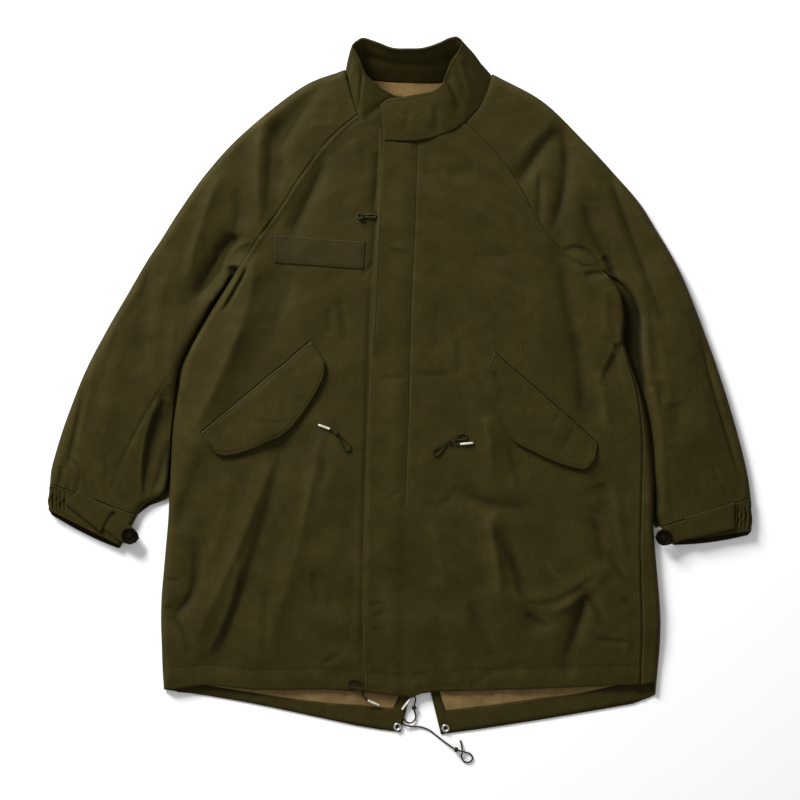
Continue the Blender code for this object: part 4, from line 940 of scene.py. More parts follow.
def back_column(c, v):
    """One column of the back's outer face: its right seam, the underside, then round its left side."""
    (rx, ry), (lx, ly) = back_edge(v, False), back_edge(v, True)
    span = np.hypot(lx - rx, ly - ry)
    wx, wy = (lx - rx) / span, (ly - ry) / span
    vent_left, vent_right = BACK_EDGE + BACK_FLAT, BACK_EDGE + BACK_FLAT + 1
    last = vent_right + BACK_FLAT
    wrap = np.where(v < UNDERARM, np.maximum(smooth(BODY_ROWS, v, 4), 0.0), 0.0)
    bow = np.interp(v, range(len(TAIL_BOW)), TAIL_BOW)
    z = np.zeros(v.shape)
    if c < BACK_EDGE:
        a = -UNDER_START - (1 - UNDER_START) * c / BACK_EDGE
        d, z = rolled(a, BODY_H, roll(v), ROUND)
        x, y = rx + wx * d, ry + wy * d
    elif c > last:
        a = -1 + (seam_step(wrap) + 1 - UNDER_START) * (c - last) / BACK_WRAP
        guess = np.clip(a, 0, 1) * ROUND
        d, z = rolled(a, body_top(lx - wx * guess, ly - wy * guess), roll(v), ROUND)
        x, y = lx - wx * d, ly - wy * d
        z = np.where(a > 1, body_top(x, y), z)
        seam = rolled(seam_step(wrap), 0.0, 0.0, ROUND)[0]
        z = z + seam_relief(np.abs(seam - d), False) * ease(a)
    else:
        x0, y0 = rx + wx * ROUND_UNDER, ry + wy * ROUND_UNDER
        x1, y1 = lx - wx * ROUND_UNDER, ly - wy * ROUND_UNDER
        mid_y = y0 + (y1 - y0) * (VENT_X - x0) / (x1 - x0)
        mid_y = mid_y + bow * (read(HEM, 0, VENT_X, 2) - hem_chord(VENT_X))
        slit = VENT_CLOSED + VENT_SLOPE * np.maximum(VENT_TOP_Y - mid_y, 0.0)
        if c <= vent_left:
            x = x0 + (VENT_X - slit - x0) * (c - BACK_EDGE) / BACK_FLAT
        elif c < vent_right:
            x = VENT_X + slit * (2 * (c - vent_left) - 1)
        else:
            x = VENT_X + slit + (x1 - VENT_X - slit) * (c - vent_right) / BACK_FLAT
        y = y0 + (y1 - y0) * (x - x0) / (x1 - x0)
    hem = np.interp(x, HEM_X, HEM_BACK)
    if c > last:
        hem = hem + (np.interp(x, FRONT_HEM_X, HEM_FRONT) - hem) * ease(a / 0.5)
    y = y + bow * (hem - hem_chord(x))
    share = np.clip((x - rx) / (lx - rx), 0, 1)
    y = y - BACK_NECK_HOLLOW * ease(v - NECK + 1) * np.sin(np.pi * share) * (v > NECK - 2)
    return np.stack([x, y, z], -1)


# ---------------------------------------------------------------- the sleeves' panels
SLEEVE_EDGE = 3
SLEEVE_FLAT = 8
SLEEVE_COLUMNS = 2 * SLEEVE_EDGE + SLEEVE_FLAT
SEAM_ROW = SLEEVE_UNDERARM
REACH_ROWS = (0.0, 1.0, 1.5, 2.4, SEAM_ROW - 0.8, SEAM_ROW)
# how far the right and left under cloth runs on below the body's side, at those rows
UNDER_REACH = ((0.0, 6.0, 10.0, 12.0, 12.0, 0.0), (7.0, 9.0, 14.0, 26.0, 26.0, 0.0))
INNER_ROLL = (0.45, 1.0)  # how far the inner edge of the right and left sleeve rolls down
ROLL_ROWS = (2.4, 3.2, SEAM_ROW - 2, SEAM_ROW - 1, SEAM_ROW)
SLEEVE_GAP = SEAM * 0.6


def sleeve_edges(v, left, under):
    table = SLEEVE_LEFT if left else SLEEVE_RIGHT
    ox, oy = smooth(table, v, 0), smooth(table, v, 1)
    low = smooth(table, v, 2), smooth(table, v, 3)
    w = np.maximum(v - SEAM_ROW, 0)
    if under:
        k = 2 if left else 0
        high = smooth(BACK_YOKE, w, k), smooth(BACK_YOKE, w, k + 1)
    else:
        high = body_edge(w + UNDERARM, left)
    ix, iy = (np.where(v < SEAM_ROW, a, b) for a, b in zip(low, high))
    span = np.hypot(ix - ox, iy - oy)
    wx, wy = (ix - ox) / span, (iy - oy) / span
    gap = SLEEVE_GAP * (v > SEAM_ROW - 2)
    if under:
        gap = gap - np.interp(v, REACH_ROWS, UNDER_REACH[left])
    return ox, oy, ix - wx * gap, iy - wy * gap, wx, wy


def sleeve_column(left, under, c, v):
    """One column of a sleeve's upper or under face, from its outer edge to its inner edge."""
    ox, oy, ix, iy, wx, wy = sleeve_edges(v, left, under)
    width = np.hypot(ix - ox, iy - oy)
    most = 1.0 if under else INNER_ROLL[left]
    inner_roll = np.interp(v, ROLL_ROWS, (1.0, most, most, 0.7 * most, 0.0))
    radius = np.minimum(ROUND_SLEEVE, width / 5)
    step = -1.0 if under else 1.0
    rim = ROUND_UNDER if under else radius
    start = UNDER_START if under else EDGE_START
    last = SLEEVE_EDGE + SLEEVE_FLAT
    if c < SLEEVE_EDGE:
        a = start + (1 - start) * c / SLEEVE_EDGE
        d, z = rolled(step * a, sleeve_top(ox + wx * rim * a, oy + wy * rim * a), 1.0, radius)
        x, y = ox + wx * d, oy + wy * d
    elif c > last:
        a = start + (1 - start) * (SLEEVE_COLUMNS - c) / SLEEVE_EDGE
        top = sleeve_top(ix - wx * rim * a, iy - wy * rim * a)
        d, z = rolled(step * a, top, inner_roll, radius)
        x, y = ix - wx * d, iy - wy * d
        if not under:
            z = z + seam_relief(d, False) * ease(v - SEAM_ROW + 1)
    else:
        d = rim + (width - 2 * rim) * (c - SLEEVE_EDGE) / SLEEVE_FLAT
        x, y = ox + wx * d, oy + wy * d
        z = np.zeros(v.shape) if under else sleeve_top(x, y)
    if left:
        bow = NECK_BOW_LEFT * ease(v - (NECK - UNDERARM + SEAM_ROW - 1))
        turn = np.where(wx < 0, 1.0, -1.0)
        across = np.minimum(np.hypot(x - ox, y - oy) / width, 1.0)
        x = x - wy * turn * bow * np.sin(np.pi * across)
        y = y + wx * turn * bow * np.sin(np.pi * across)
    return np.stack([x, y, z], -1)


# ---------------------------------------------------------------- making cloth
def named(name):
    """A piece's name, apart from that of the solid that it stands for."""
    return name + "_detailed" if name in frame["nodes"] else name


def normals(points):
    n = np.cross(np.gradient(points, axis=0), np.gradient(points, axis=1))
    size = np.linalg.norm(n, axis=-1, keepdims=True)
    return n / np.maximum(size, 1e-9)


def add_mesh(name, points, faces, material):
    name = named(name)
    mesh = bpy.data.meshes.new(name)
    mesh.from_pydata(points.tolist(), [], faces.tolist() if hasattr(faces, "tolist") else faces)
    mesh.materials.append(material)
    mesh.shade_smooth()
    mesh.update()
    obj = bpy.data.objects.new(name, mesh)
    scene.collection.objects.link(obj)
    return obj


def run_along(points, axis):
    """How far each point of a grid lies along its column or row, in millimetres."""
    step = np.linalg.norm(np.diff(points, axis=axis), axis=-1)
    return np.cumsum(np.concatenate([np.zeros_like(np.take(step, [0], axis)), step], axis), axis)


def blurred(points, reach):
    """Each point of a grid as the mean of those a few steps off along both ways."""
    wide = np.pad(points, ((reach, reach), (reach, reach), (0, 0)), mode="edge")
    n, m = points.shape[:2]
    parts = [wide[reach + i:reach + i + n, reach + j:reach + j + m]
             for i, j in ((reach, 0), (-reach, 0), (0, reach), (0, -reach))]
    return sum(parts) / 4


WEAR_HEIGHT = 1.6
WEAR_REACH = 3  # steps
WEAR_MOST = 0.6
WEAR_EDGE = 0.3
# painted crease shade: how deep a hollow must lie, how dark it gets and over how many steps it is measured
DEEP_HEIGHT = 3.0
DEEP_MOST = 0.34
DEEP_REACH = 3  # steps
DEEP_WIDE = 0.4  # share of the wider hollow that counts
DEEP_OVER = 1.1  # much deeper than this is darker still


def rubbed(points, n):
    """How worn each place is: more on ridges and along edges, from 0 to 1."""
    stands = ((points - blurred(points, WEAR_REACH)) * n).sum(-1)
    worn = np.clip(stands / WEAR_HEIGHT, 0, 1) * WEAR_MOST
    for edge in (np.s_[:1], np.s_[-1:], np.s_[:, :1], np.s_[:, -1:]):
        worn[edge] = np.maximum(worn[edge], WEAR_EDGE)
    return worn


def crease_shade(points, n):
    """How far each place lies down in a crease, from 0 to 1: painted shade darkens the colour there."""
    below = ((blurred(points, DEEP_REACH) - points) * n).sum(-1)
    wide = ((blurred(points, 3 * DEEP_REACH) - points) * n).sum(-1)
    much = (below + DEEP_WIDE * wide) / DEEP_HEIGHT
    return np.clip(much, 0, 1) * DEEP_MOST + np.clip(much - DEEP_OVER, 0, 1) * (1 - DEEP_MOST)


def cloth(name, points, wall, material, keep=None, ring=False, faces_down=False, out=None, painted_shade=None):
    """A closed shell of cloth: a grid of points as its outer face and a copy a wall further in."""
    columns, rows = points.shape[:2]
    n = normals(points)
    if ring:
        wide = np.concatenate([points[-2:-1], points, points[1:2]])
        n = normals(wide)[1:-1]
    if out is not None:
        n = -n if (n * out).sum() < 0 else n
    elif (n[..., 2].mean() < 0) != faces_down:
        n = -n
    inner = points - n * wall
    worn = rubbed(points, n).ravel()
    # painted shade for the colour: crease shade on the outer face, with the given shade for gaps and
    # hollows added on pieces that face up; the inner face takes only the given shade
    given_shade = np.zeros(points.shape[:2]) if painted_shade is None else painted_shade
    shaded = (crease_shade(points, n) if faces_down else np.maximum(crease_shade(points, n), given_shade)).ravel()
    cell = np.arange(columns * rows).reshape(columns, rows)
    quads = np.stack([cell[:-1, :-1], cell[1:, :-1], cell[1:, 1:], cell[:-1, 1:]], -1)
    if keep is not None:
        mask = np.array([[keep(i, j) for j in range(rows - 1)] for i in range(columns - 1)])
        quads = quads[mask]
    quads = quads.reshape(-1, 4)
    under = quads[:, ::-1] + columns * rows
    edges = np.concatenate([quads[:, [k, (k + 1) % 4]] for k in range(4)])
    tags = edges[:, 0].astype(np.int64) * columns * rows + edges[:, 1]
    twins = edges[:, 1].astype(np.int64) * columns * rows + edges[:, 0]
    rim = edges[~np.isin(tags, twins)]
    sides = np.stack([rim[:, 1], rim[:, 0], rim[:, 0] + columns * rows, rim[:, 1] + columns * rows], -1)
    every = np.concatenate([points.reshape(-1, 3), inner.reshape(-1, 3)])
    obj = add_mesh(name, placed(every), np.concatenate([quads, under, sides]), material)
    across, along = run_along(points, 0) * MM, run_along(points, 1) * MM
    flat = np.stack([across, along], -1).reshape(-1, 2)
    flat = np.concatenate([flat, flat])
    loops = np.zeros(len(obj.data.loops), np.int32)
    obj.data.loops.foreach_get("vertex_index", loops)
    for label, outer, inside in (("worn", worn, 0 * worn), ("painted_shade", shaded, given_shade.ravel())):
        marks = obj.data.attributes.new(label, "FLOAT", "POINT")
        marks.data.foreach_set("value", np.concatenate([outer, inside]).astype(np.float32))
    layer = obj.data.uv_layers.new(name="cloth")
    layer.data.foreach_set("uv", flat[loops].astype(np.float32).ravel())
    bm = bmesh.new()
    bm.from_mesh(obj.data)
    if ring:
        bmesh.ops.remove_doubles(bm, verts=bm.verts, dist=1e-6)
    bmesh.ops.delete(bm, geom=[v for v in bm.verts if not v.link_faces], context="VERTS")
    bmesh.ops.recalc_face_normals(bm, faces=bm.faces)
    bm.to_mesh(obj.data)
    bm.free()
    return obj


def flat_cut(points):
    """Width, length and area of the cloth of a grid, in metres."""
    wide = run_along(points, 0)[-1].max() * MM
    long = run_along(points, 1)[:, -1].max() * MM
    a, b = np.diff(points, axis=0)[:, :-1], np.diff(points, axis=1)[:-1]
    area = np.linalg.norm(np.cross(a, b), axis=-1).sum() * MM * MM
    return (wide, long), min(area, wide * long)


def lay(obj, points, nodes):
    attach(obj, "root")
    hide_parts(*nodes)
    size, area = flat_cut(points)


def grid(column, cs, v):
    return np.stack([column(c, v) for c in cs])


# ---------------------------------------------------------------- materials
def new_material(name):
    mat = bpy.data.materials.new(name)
    mat.use_nodes = True
    return mat, mat.node_tree, mat.node_tree.nodes["Principled BSDF"]


def add_node(tree, kind, inputs=(), **settings):
    node = tree.nodes.new(kind)
    for key, value in settings.items():
        setattr(node, key, value)
    for key, value in inputs:
        if isinstance(value, bpy.types.NodeSocket):
            tree.links.new(value, node.inputs[key])
        else:
            node.inputs[key].default_value = value
    return node


def mixed(tree, factor, a, b):
    """A colour between two, by a factor."""
    node = tree.nodes.new("ShaderNodeMix")
    node.data_type = "RGBA"
    tree.links.new(factor, node.inputs[0])
    for k, value in ((6, a), (7, b)):
        if isinstance(value, bpy.types.NodeSocket):
            tree.links.new(value, node.inputs[k])
        else:
            node.inputs[k].default_value = (*value, 1.0)
    return node.outputs[2]


def ranged(tree, value, low, high, to_low=0.0, to_high=1.0):
    node = add_node(tree, "ShaderNodeMapRange", [("Value", value), ("From Min", low),
                    ("From Max", high), ("To Min", to_low), ("To Max", to_high)])
    return node.outputs[0]


SHADE_TINT = 0.1  # what is left of the colour where the painted shade is full, in a crease or a gap
SLUBS, PICKS = (900.0, 45.0, 1.0), (60.0, 1100.0, 1.0)  # how fine the threads lie each way
TWILL_LEAN = 1.1
TWILL = 0.314
THREAD_DEPTH = 0.00012
CRUMPLE, CRUMPLE_DEPTH = 24.0, 0.0036
CLOTH_GLOSS = 0.05
SHEEN = 0.02
SHEEN_TINT = (0.5, 0.45, 0.25, 1.0)


def fabric(name, dark, light, worn, thread, rough=0.68, weave=0.35, mottle=16.0):
    """Woven cloth: threads and slubs along the cut, soft patches of colour, paler where it rubs, darker
    with painted shade in creases and gaps.
    The cloth's own UV map is in metres along the cut; thread is the weave's period in metres."""
    mat, tree, bsdf = new_material(name)
    uv = add_node(tree, "ShaderNodeUVMap", uv_map="cloth").outputs[0]
    patches = add_node(tree, "ShaderNodeTexNoise", [("Vector", uv), ("Scale", mottle), ("Detail", 6.0),
                       ("Roughness", 0.62)]).outputs[0]
    stretched = add_node(tree, "ShaderNodeMapping", [("Vector", uv), ("Scale", SLUBS)])
    slubs = add_node(tree, "ShaderNodeTexNoise", [("Vector", stretched.outputs[0]), ("Scale", 1.0),
                     ("Detail", 3.0)]).outputs[0]
    crossed = add_node(tree, "ShaderNodeMapping", [("Vector", uv), ("Scale", PICKS)])
    picks = add_node(tree, "ShaderNodeTexNoise", [("Vector", crossed.outputs[0]), ("Scale", 1.0),
                     ("Detail", 2.0)]).outputs[0]
    colour = mixed(tree, ranged(tree, patches, 0.32, 0.68), dark, light)
    fleck = add_node(tree, "ShaderNodeMath", [(0, slubs), (1, picks)], operation="ADD").outputs[0]
    shade = ranged(tree, fleck, 0.7, 1.3, 0.82, 1.18)
    # painted shade: the attribute darkens the colour, down to the tint above where it is full
    painted_shade = add_node(tree, "ShaderNodeAttribute", attribute_name="painted_shade").outputs["Fac"]
    depth = ranged(tree, painted_shade, 0.0, 1.0, 1.0, SHADE_TINT)
    shade = add_node(tree, "ShaderNodeMath", [(0, shade), (1, depth)], operation="MULTIPLY").outputs[0]
    tinted = add_node(tree, "ShaderNodeVectorMath", [(0, colour)], operation="SCALE")
    tree.links.new(shade, tinted.inputs["Scale"])
    rub = add_node(tree, "ShaderNodeAttribute", attribute_name="worn").outputs["Fac"]
    rubbed = add_node(tree, "ShaderNodeMath", [(0, rub), (1, ranged(tree, patches, 0.35, 0.65, 0.3, 1.0))],
                      operation="MULTIPLY").outputs[0]
    tree.links.new(mixed(tree, rubbed, tinted.outputs[0], worn), bsdf.inputs["Base Color"])
    turned_uv = add_node(tree, "ShaderNodeMapping", [("Vector", uv), ("Rotation", (0, 0, TWILL_LEAN))])
    twill = add_node(tree, "ShaderNodeTexWave", [("Vector", turned_uv.outputs[0]),
                     ("Scale", TWILL / thread), ("Distortion", 0.6), ("Detail", 1.0)]).outputs["Fac"]
    relief = add_node(tree, "ShaderNodeMath", [(0, twill), (1, fleck)], operation="ADD").outputs[0]
    fine = add_node(tree, "ShaderNodeBump", [("Height", relief), ("Strength", weave),
                    ("Distance", THREAD_DEPTH)])
    crumple = add_node(tree, "ShaderNodeTexNoise", [("Vector", uv), ("Scale", CRUMPLE), ("Detail", 4.0),
                       ("Roughness", 0.5), ("Distortion", 0.2)]).outputs[0]
    soft = add_node(tree, "ShaderNodeBump", [("Height", crumple), ("Strength", 0.35),
                    ("Distance", CRUMPLE_DEPTH), ("Normal", fine.outputs[0])])
    tree.links.new(soft.outputs[0], bsdf.inputs["Normal"])
    tree.links.new(ranged(tree, patches, 0.3, 0.7, rough - 0.06, rough + 0.06),
                   bsdf.inputs["Roughness"])
    bsdf.inputs["Specular IOR Level"].default_value = CLOTH_GLOSS
    bsdf.inputs["Sheen Weight"].default_value = SHEEN
    bsdf.inputs["Sheen Roughness"].default_value = 0.5
    bsdf.inputs["Sheen Tint"].default_value = SHEEN_TINT
    return mat


STRANDS = 300.0
STRAND_DEPTH = 0.0003


def braid(name, dark, light):
    """Braided cord: slanting strands on object coordinates."""
    mat, tree, bsdf = new_material(name)
    place = add_node(tree, "ShaderNodeTexCoord").outputs["Object"]
    strands = [add_node(tree, "ShaderNodeTexWave", [("Vector", add_node(
        tree, "ShaderNodeMapping", [("Vector", place), ("Rotation", (0.3, 0.4, angle))]).outputs[0]),
        ("Scale", STRANDS), ("Distortion", 1.0)]).outputs["Fac"] for angle in (0.75, -0.75)]
    both = add_node(tree, "ShaderNodeMath", [(0, strands[0]), (1, strands[1])],
                    operation="MULTIPLY").outputs[0]
    tree.links.new(mixed(tree, ranged(tree, both, 0.0, 0.8), dark, light), bsdf.inputs["Base Color"])
    bump = add_node(tree, "ShaderNodeBump", [("Height", both), ("Strength", 0.6),
                    ("Distance", STRAND_DEPTH)])
    tree.links.new(bump.outputs[0], bsdf.inputs["Normal"])
    bsdf.inputs["Roughness"].default_value = 0.8
    bsdf.inputs["Specular IOR Level"].default_value = 0.08
    return mat


SCRATCHES = 14  # times finer than the clouding
SCRATCH_DEPTH = 0.0001


def moulded(name, dark, light, rough, metal=0.0, scale=90.0, gloss=0.5):
    """A hard small part: soft clouding, fine scratches and uneven gloss."""
    mat, tree, bsdf = new_material(name)
    place = add_node(tree, "ShaderNodeTexCoord").outputs["Object"]
    cloud = add_node(tree, "ShaderNodeTexNoise", [("Vector", place), ("Scale", scale), ("Detail", 4.0),
                     ("Roughness", 0.6)]).outputs[0]
    fine = add_node(tree, "ShaderNodeTexNoise", [("Vector", place), ("Scale", scale * SCRATCHES),
                    ("Detail", 3.0)]).outputs[0]
    tree.links.new(mixed(tree, ranged(tree, cloud, 0.35, 0.65), dark, light),
                   bsdf.inputs["Base Color"])
    tree.links.new(ranged(tree, fine, 0.3, 0.7, rough - 0.08, rough + 0.1), bsdf.inputs["Roughness"])
    rise = add_node(tree, "ShaderNodeBump", [("Height", fine), ("Strength", 0.1),
                    ("Distance", SCRATCH_DEPTH)])
    tree.links.new(rise.outputs[0], bsdf.inputs["Normal"])
    bsdf.inputs["Metallic"].default_value = metal
    bsdf.inputs["Specular IOR Level"].default_value = gloss
    return mat


shell_cloth = fabric("shell cloth", (0.0220, 0.0165, 0.0030), (0.0310, 0.0240, 0.0052),
                     (0.050, 0.041, 0.013), 0.0009)
tape_cloth = fabric("name tape", (0.0215, 0.0158, 0.0044), (0.0285, 0.0212, 0.0064), (0.043, 0.034, 0.012),
                    0.0014, weave=0.6)
lining_cloth = fabric("lining", (0.125, 0.078, 0.027), (0.19, 0.125, 0.05), (0.26, 0.18, 0.085),
                      0.0007, rough=0.75, mottle=30.0)
# sewing thread, darker than the shell: partly its own colour, partly painted shade of the furrows its
# stitches sink into and along the pockets' welts
thread = fabric("sewing thread", (0.0095, 0.007, 0.0018), (0.014, 0.0105, 0.003), (0.02, 0.016, 0.006),
                0.0004, rough=0.6)
cord_cloth = braid("drawcord", (0.012, 0.010, 0.004), (0.038, 0.032, 0.013))
pull_cloth = braid("chest pull cord", (0.022, 0.018, 0.007), (0.055, 0.046, 0.02))
horn = moulded("buttons", (0.0026, 0.0017, 0.0006), (0.0062, 0.0042, 0.0016), 0.45, scale=140.0, gloss=0.02)
steel = moulded("snaps", (0.42, 0.41, 0.38), (0.62, 0.61, 0.57), 0.3, metal=1.0)
# also the dark discs painted as the shade in the buttons' holes
snap_dark = moulded("snap centres", (0.006, 0.005, 0.003), (0.014, 0.012, 0.008), 0.6, gloss=0.1)
ivory = moulded("cord tips", (0.42, 0.39, 0.3), (0.6, 0.57, 0.48), 0.35)

# ---------------------------------------------------------------- panels
ROW_PITCH = 2.45
BODY_LENGTH = 820.0
SLEEVE_LENGTH = 640.0
TUCK = 0.06  # rows that the panels run on under the collar
TUCK_DROP = 2.5
TUCK_LOWEST = 2.0
FRONT_STEPS, ZIP_STEPS, SLEEVE_STEPS, WRAP_STEPS = 102, 10, 84, 26
body_rows = np.concatenate([np.linspace(0, NECK, int(BODY_LENGTH / ROW_PITCH)), [NECK + TUCK]])
sleeve_last = len(SLEEVE_RIGHT) - 1
sleeve_rows = np.concatenate([np.linspace(0, sleeve_last, int(SLEEVE_LENGTH / ROW_PITCH)),
                              [sleeve_last + TUCK]])
seam_cells = [0, 0.08, 0.18, 0.32, 0.5, 0.75, 1.0, 1.3, 1.6, 1.95, 2.3, 2.65]
front_cells = seam_cells + list(np.linspace(EDGE_CELLS, EDGE_CELLS + FLAT_CELLS, FRONT_STEPS))
flat_end = EDGE_CELLS + FLAT_CELLS
zip_cells = list(np.linspace(flat_end, flat_end + 1, ZIP_STEPS)[1:])
flap_cells = [0.012, 0.03, 0.06, 0.1, 0.14, 0.19, 0.25, 0.32, 0.4, 0.48, 0.56, 0.64, 0.72, 0.79, 0.85,
              0.89, 0.92, 0.945, 0.965, 0.98, 0.992, 1.0]
outer_cells = [0, 0.25, 0.5, 0.8, 1.1, 1.4, 1.7, 2.0, 2.3, 2.65]
from_inner = (2.65, 2.3, 2.0, 1.7, 1.4, 1.1, 0.85, 0.65, 0.45, 0.25, 0.12, 0)
inner_cells = [SLEEVE_COLUMNS - c for c in from_inner]
flat_of_sleeve = list(np.linspace(SLEEVE_EDGE, SLEEVE_EDGE + SLEEVE_FLAT, SLEEVE_STEPS))
sleeve_cells = outer_cells + flat_of_sleeve + inner_cells
under_cells = [0, 1, 2, 3, 5, 7, 9, 11, 12, 13, 14]
wrap_first = BACK_EDGE + 2 * BACK_FLAT + 1
VENT_CELLS = 12
right_tail = list(np.linspace(BACK_EDGE, BACK_EDGE + BACK_FLAT, VENT_CELLS))
left_tail = list(np.linspace(BACK_EDGE + BACK_FLAT + 1, wrap_first, VENT_CELLS))
wrapped = list(np.linspace(wrap_first, BACK_COLUMNS, WRAP_STEPS)[1:])
back_cells = [0, 1, 2] + right_tail + left_tail + wrapped


def tucked(points):
    """Lowers the last row of a panel, which runs on under the collar."""
    points[:, -1, 2] = np.maximum(points[:, -2, 2] - TUCK_DROP, TUCK_LOWEST)
    return points


def make_fronts():
    points = tucked(grid(lambda c, v: front_column(False, c, v), front_cells + zip_cells, body_rows))
    obj = cloth("front_right", points, SHELL, shell_cloth)
    lay(obj, points, ["front_right"])
    points = tucked(np.concatenate([
        grid(lambda c, v: front_column(True, c, v), front_cells, body_rows),
        grid(flap_column, flap_cells, body_rows)]))
    obj = cloth("front_left", points, SHELL, shell_cloth)
    lay(obj, points, ["front_left", "storm_flap"])


def make_back():
    points = grid(back_column, back_cells, body_rows)
    slit = BACK_EDGE + VENT_CELLS - 1
    obj = cloth("back", points, SHELL, shell_cloth, faces_down=True,
                keep=lambda i, j: not (i == slit and body_rows[j] < VENT_TOP))
    lay(obj, points, ["back"])


#                       from    to  shade: the rows where a sleeve's inner edge lies in the dark, and how much painted shade the colour takes there
GAP_SHADE = (((1.6, 4.2, 0.8), (8.3, 10.8, 0.9)),
             ((0.2, 2.8, 0.6), (5.6, 10.2, 0.9)))
GAP_FADE = 0.8  # rows
UNDER_SHADE, UPPER_SHADE = (8.4, 1.2), (12.0, 1.0)  # column where the painted shade begins, columns it takes


def gap_shade(left, cells, rows, first, width):
    """How much painted shade each point takes where the sleeve's inner edge lies low in the gap beside the
    body.
    """
    down = [most * ease((rows - low) / GAP_FADE) * ease((high - rows) / GAP_FADE)
            for low, high, most in GAP_SHADE[left]]
    return ease((np.array(cells)[:, None] - first) / width) * np.maximum.reduce(down)[None, :]


def make_sleeves():
    for side, left in (("right", False), ("left", True)):
        upper, under = "sleeve_front_" + side, "sleeve_back_" + side
        rows = sleeve_rows[:-1:2]
        points = grid(lambda c, v: sleeve_column(left, True, c, v), under_cells, rows)
        shade = gap_shade(left, under_cells, rows, *UNDER_SHADE)
        obj = cloth(under, points, SHELL, shell_cloth, faces_down=True, painted_shade=shade)
        lay(obj, points, [under])
        points = tucked(grid(lambda c, v: sleeve_column(left, False, c, v), sleeve_cells, sleeve_rows))
        shade = gap_shade(left, sleeve_cells, sleeve_rows, *UPPER_SHADE)
        obj = cloth(upper, points, SHELL, shell_cloth, painted_shade=shade)
        lay(obj, points, [upper])


make_back()
make_sleeves()
make_fronts()


# ---------------------------------------------------------------- pieces on the panels
def edge_round(points, distance, stitch, drop=0.9, width=1.3, dip=0.8):
    """Rounds a turned edge down and sinks a row of stitches inside it."""
    points[..., 2] -= drop * hump(distance, width)
    points[..., 2] -= dip * hump(distance - stitch, STITCH_DIP_WIDTH)
    return points


def edge_distance(points, sides=("low", "high", "first", "last")):
    """How far each point of a grid lies from the named sides, in millimetres."""
    across, along = run_along(points, 1), run_along(points, 0)
    away = {"low": across, "high": across[:, -1:] - across, "first": along,
            "last": along[-1:] - along}
    return np.minimum.reduce([away[s] for s in sides])


def table_strip(rows, stations, lines, soft=True):
    """A grid between the two lines of a table: stations along its rows, lines across."""
    s = np.linspace(0, len(rows) - 1, stations)
    t = np.linspace(0, 1, lines)[None, :]
    if soft:
        a = [smooth(rows, s, k)[:, None] for k in range(4)]
    else:
        a = [np.interp(s, range(len(rows)), [r[k] for r in rows])[:, None] for k in range(4)]
    x, y = a[0] + (a[2] - a[0]) * t, a[1] + (a[3] - a[1]) * t
    return np.stack([x, y, np.zeros(x.shape)], -1), t + 0 * x


FLAP_LIFT = 3.4
FLAP_OVER = 2.9  # its outer face over the front
FLAP_TOPSTITCH = 4.4
FLAP_FOOT = 0.8  # how much lower it starts at its sewn edge
FLAP_WELT = 1.9  # how far the welt lies outside the sewn edge
TAPE_STITCH = 3.4
FACING_STITCH = 2.6
TAB_STITCH = 2.6
#     x0    y0    x1    y1    x2    y2 left right height
FLAP_CREASES = (
    (-205,  -47, -181,  -50, -153,  -50,   3,   4, -0.9),
    (-209,  -19, -192,  -36, -181,  -61,   9,   9,  1.0),
    (-153,   36, -139,   19, -134,   -3,   8,   8,  0.9),
    ( 243,  -56,  234,  -75,  227,  -89,   3,   4, -1.2),
    ( 221,  -39,  217,  -47,  213,  -53,   3,   3, -1.0),
    ( 109,   42,  121,   31,  131,   18,   4,   5,  1.6),
    ( 132,   19,  139,    3,  147,  -14,   5,   5, -1.1),
    ( 167,   -6,  195,  -47,  223,  -75,   9,   9,  1.0))


def make_pocket_flaps():
    for side, rows in (("right", FLAP_RIGHT), ("left", FLAP_LEFT)):
        points, t = table_strip(rows, 110, 42)
        x, y = points[..., 0], points[..., 1]
        points[..., 2] = (body_top(x, y) + FLAP_OVER + FLAP_LIFT * ease(t / 0.9)
                          - FLAP_FOOT * (1 - ease(t * 8)))
        points[..., 2] += sum(crease(x, y, row) for row in FLAP_CREASES)
        points = edge_round(points, edge_distance(points), FLAP_TOPSTITCH)
        obj = cloth("pocket_flap_" + side, points, FLAP_WALL, shell_cloth)
        lay(obj, points, ["pocket_flap_" + side])


def make_name_tape():
    points, _ = table_strip(TAPE, 90, 26, soft=False)
    points[..., 2] = body_top(points[..., 0], points[..., 1]) + CLEAR + TAPE_WALL
    points = edge_round(points, edge_distance(points), TAPE_STITCH, drop=0.5, width=0.9, dip=0.3)
    obj = cloth("name_tape", points, TAPE_WALL, tape_cloth)
    lay(obj, points, ["name_tape"])


make_pocket_flaps()
make_name_tape()
INSIDE_FLOOR = SHELL + SEAM
WRINKLE = 2.2
FACING_WAVE, FACING_PATCH = 0.35, (12, 31)
TAIL_PATCHES = ((16, 41), (8, 42))  # patch size, seed
NECK_PATCH = (15, 51)
NECK_DIP = 3.0


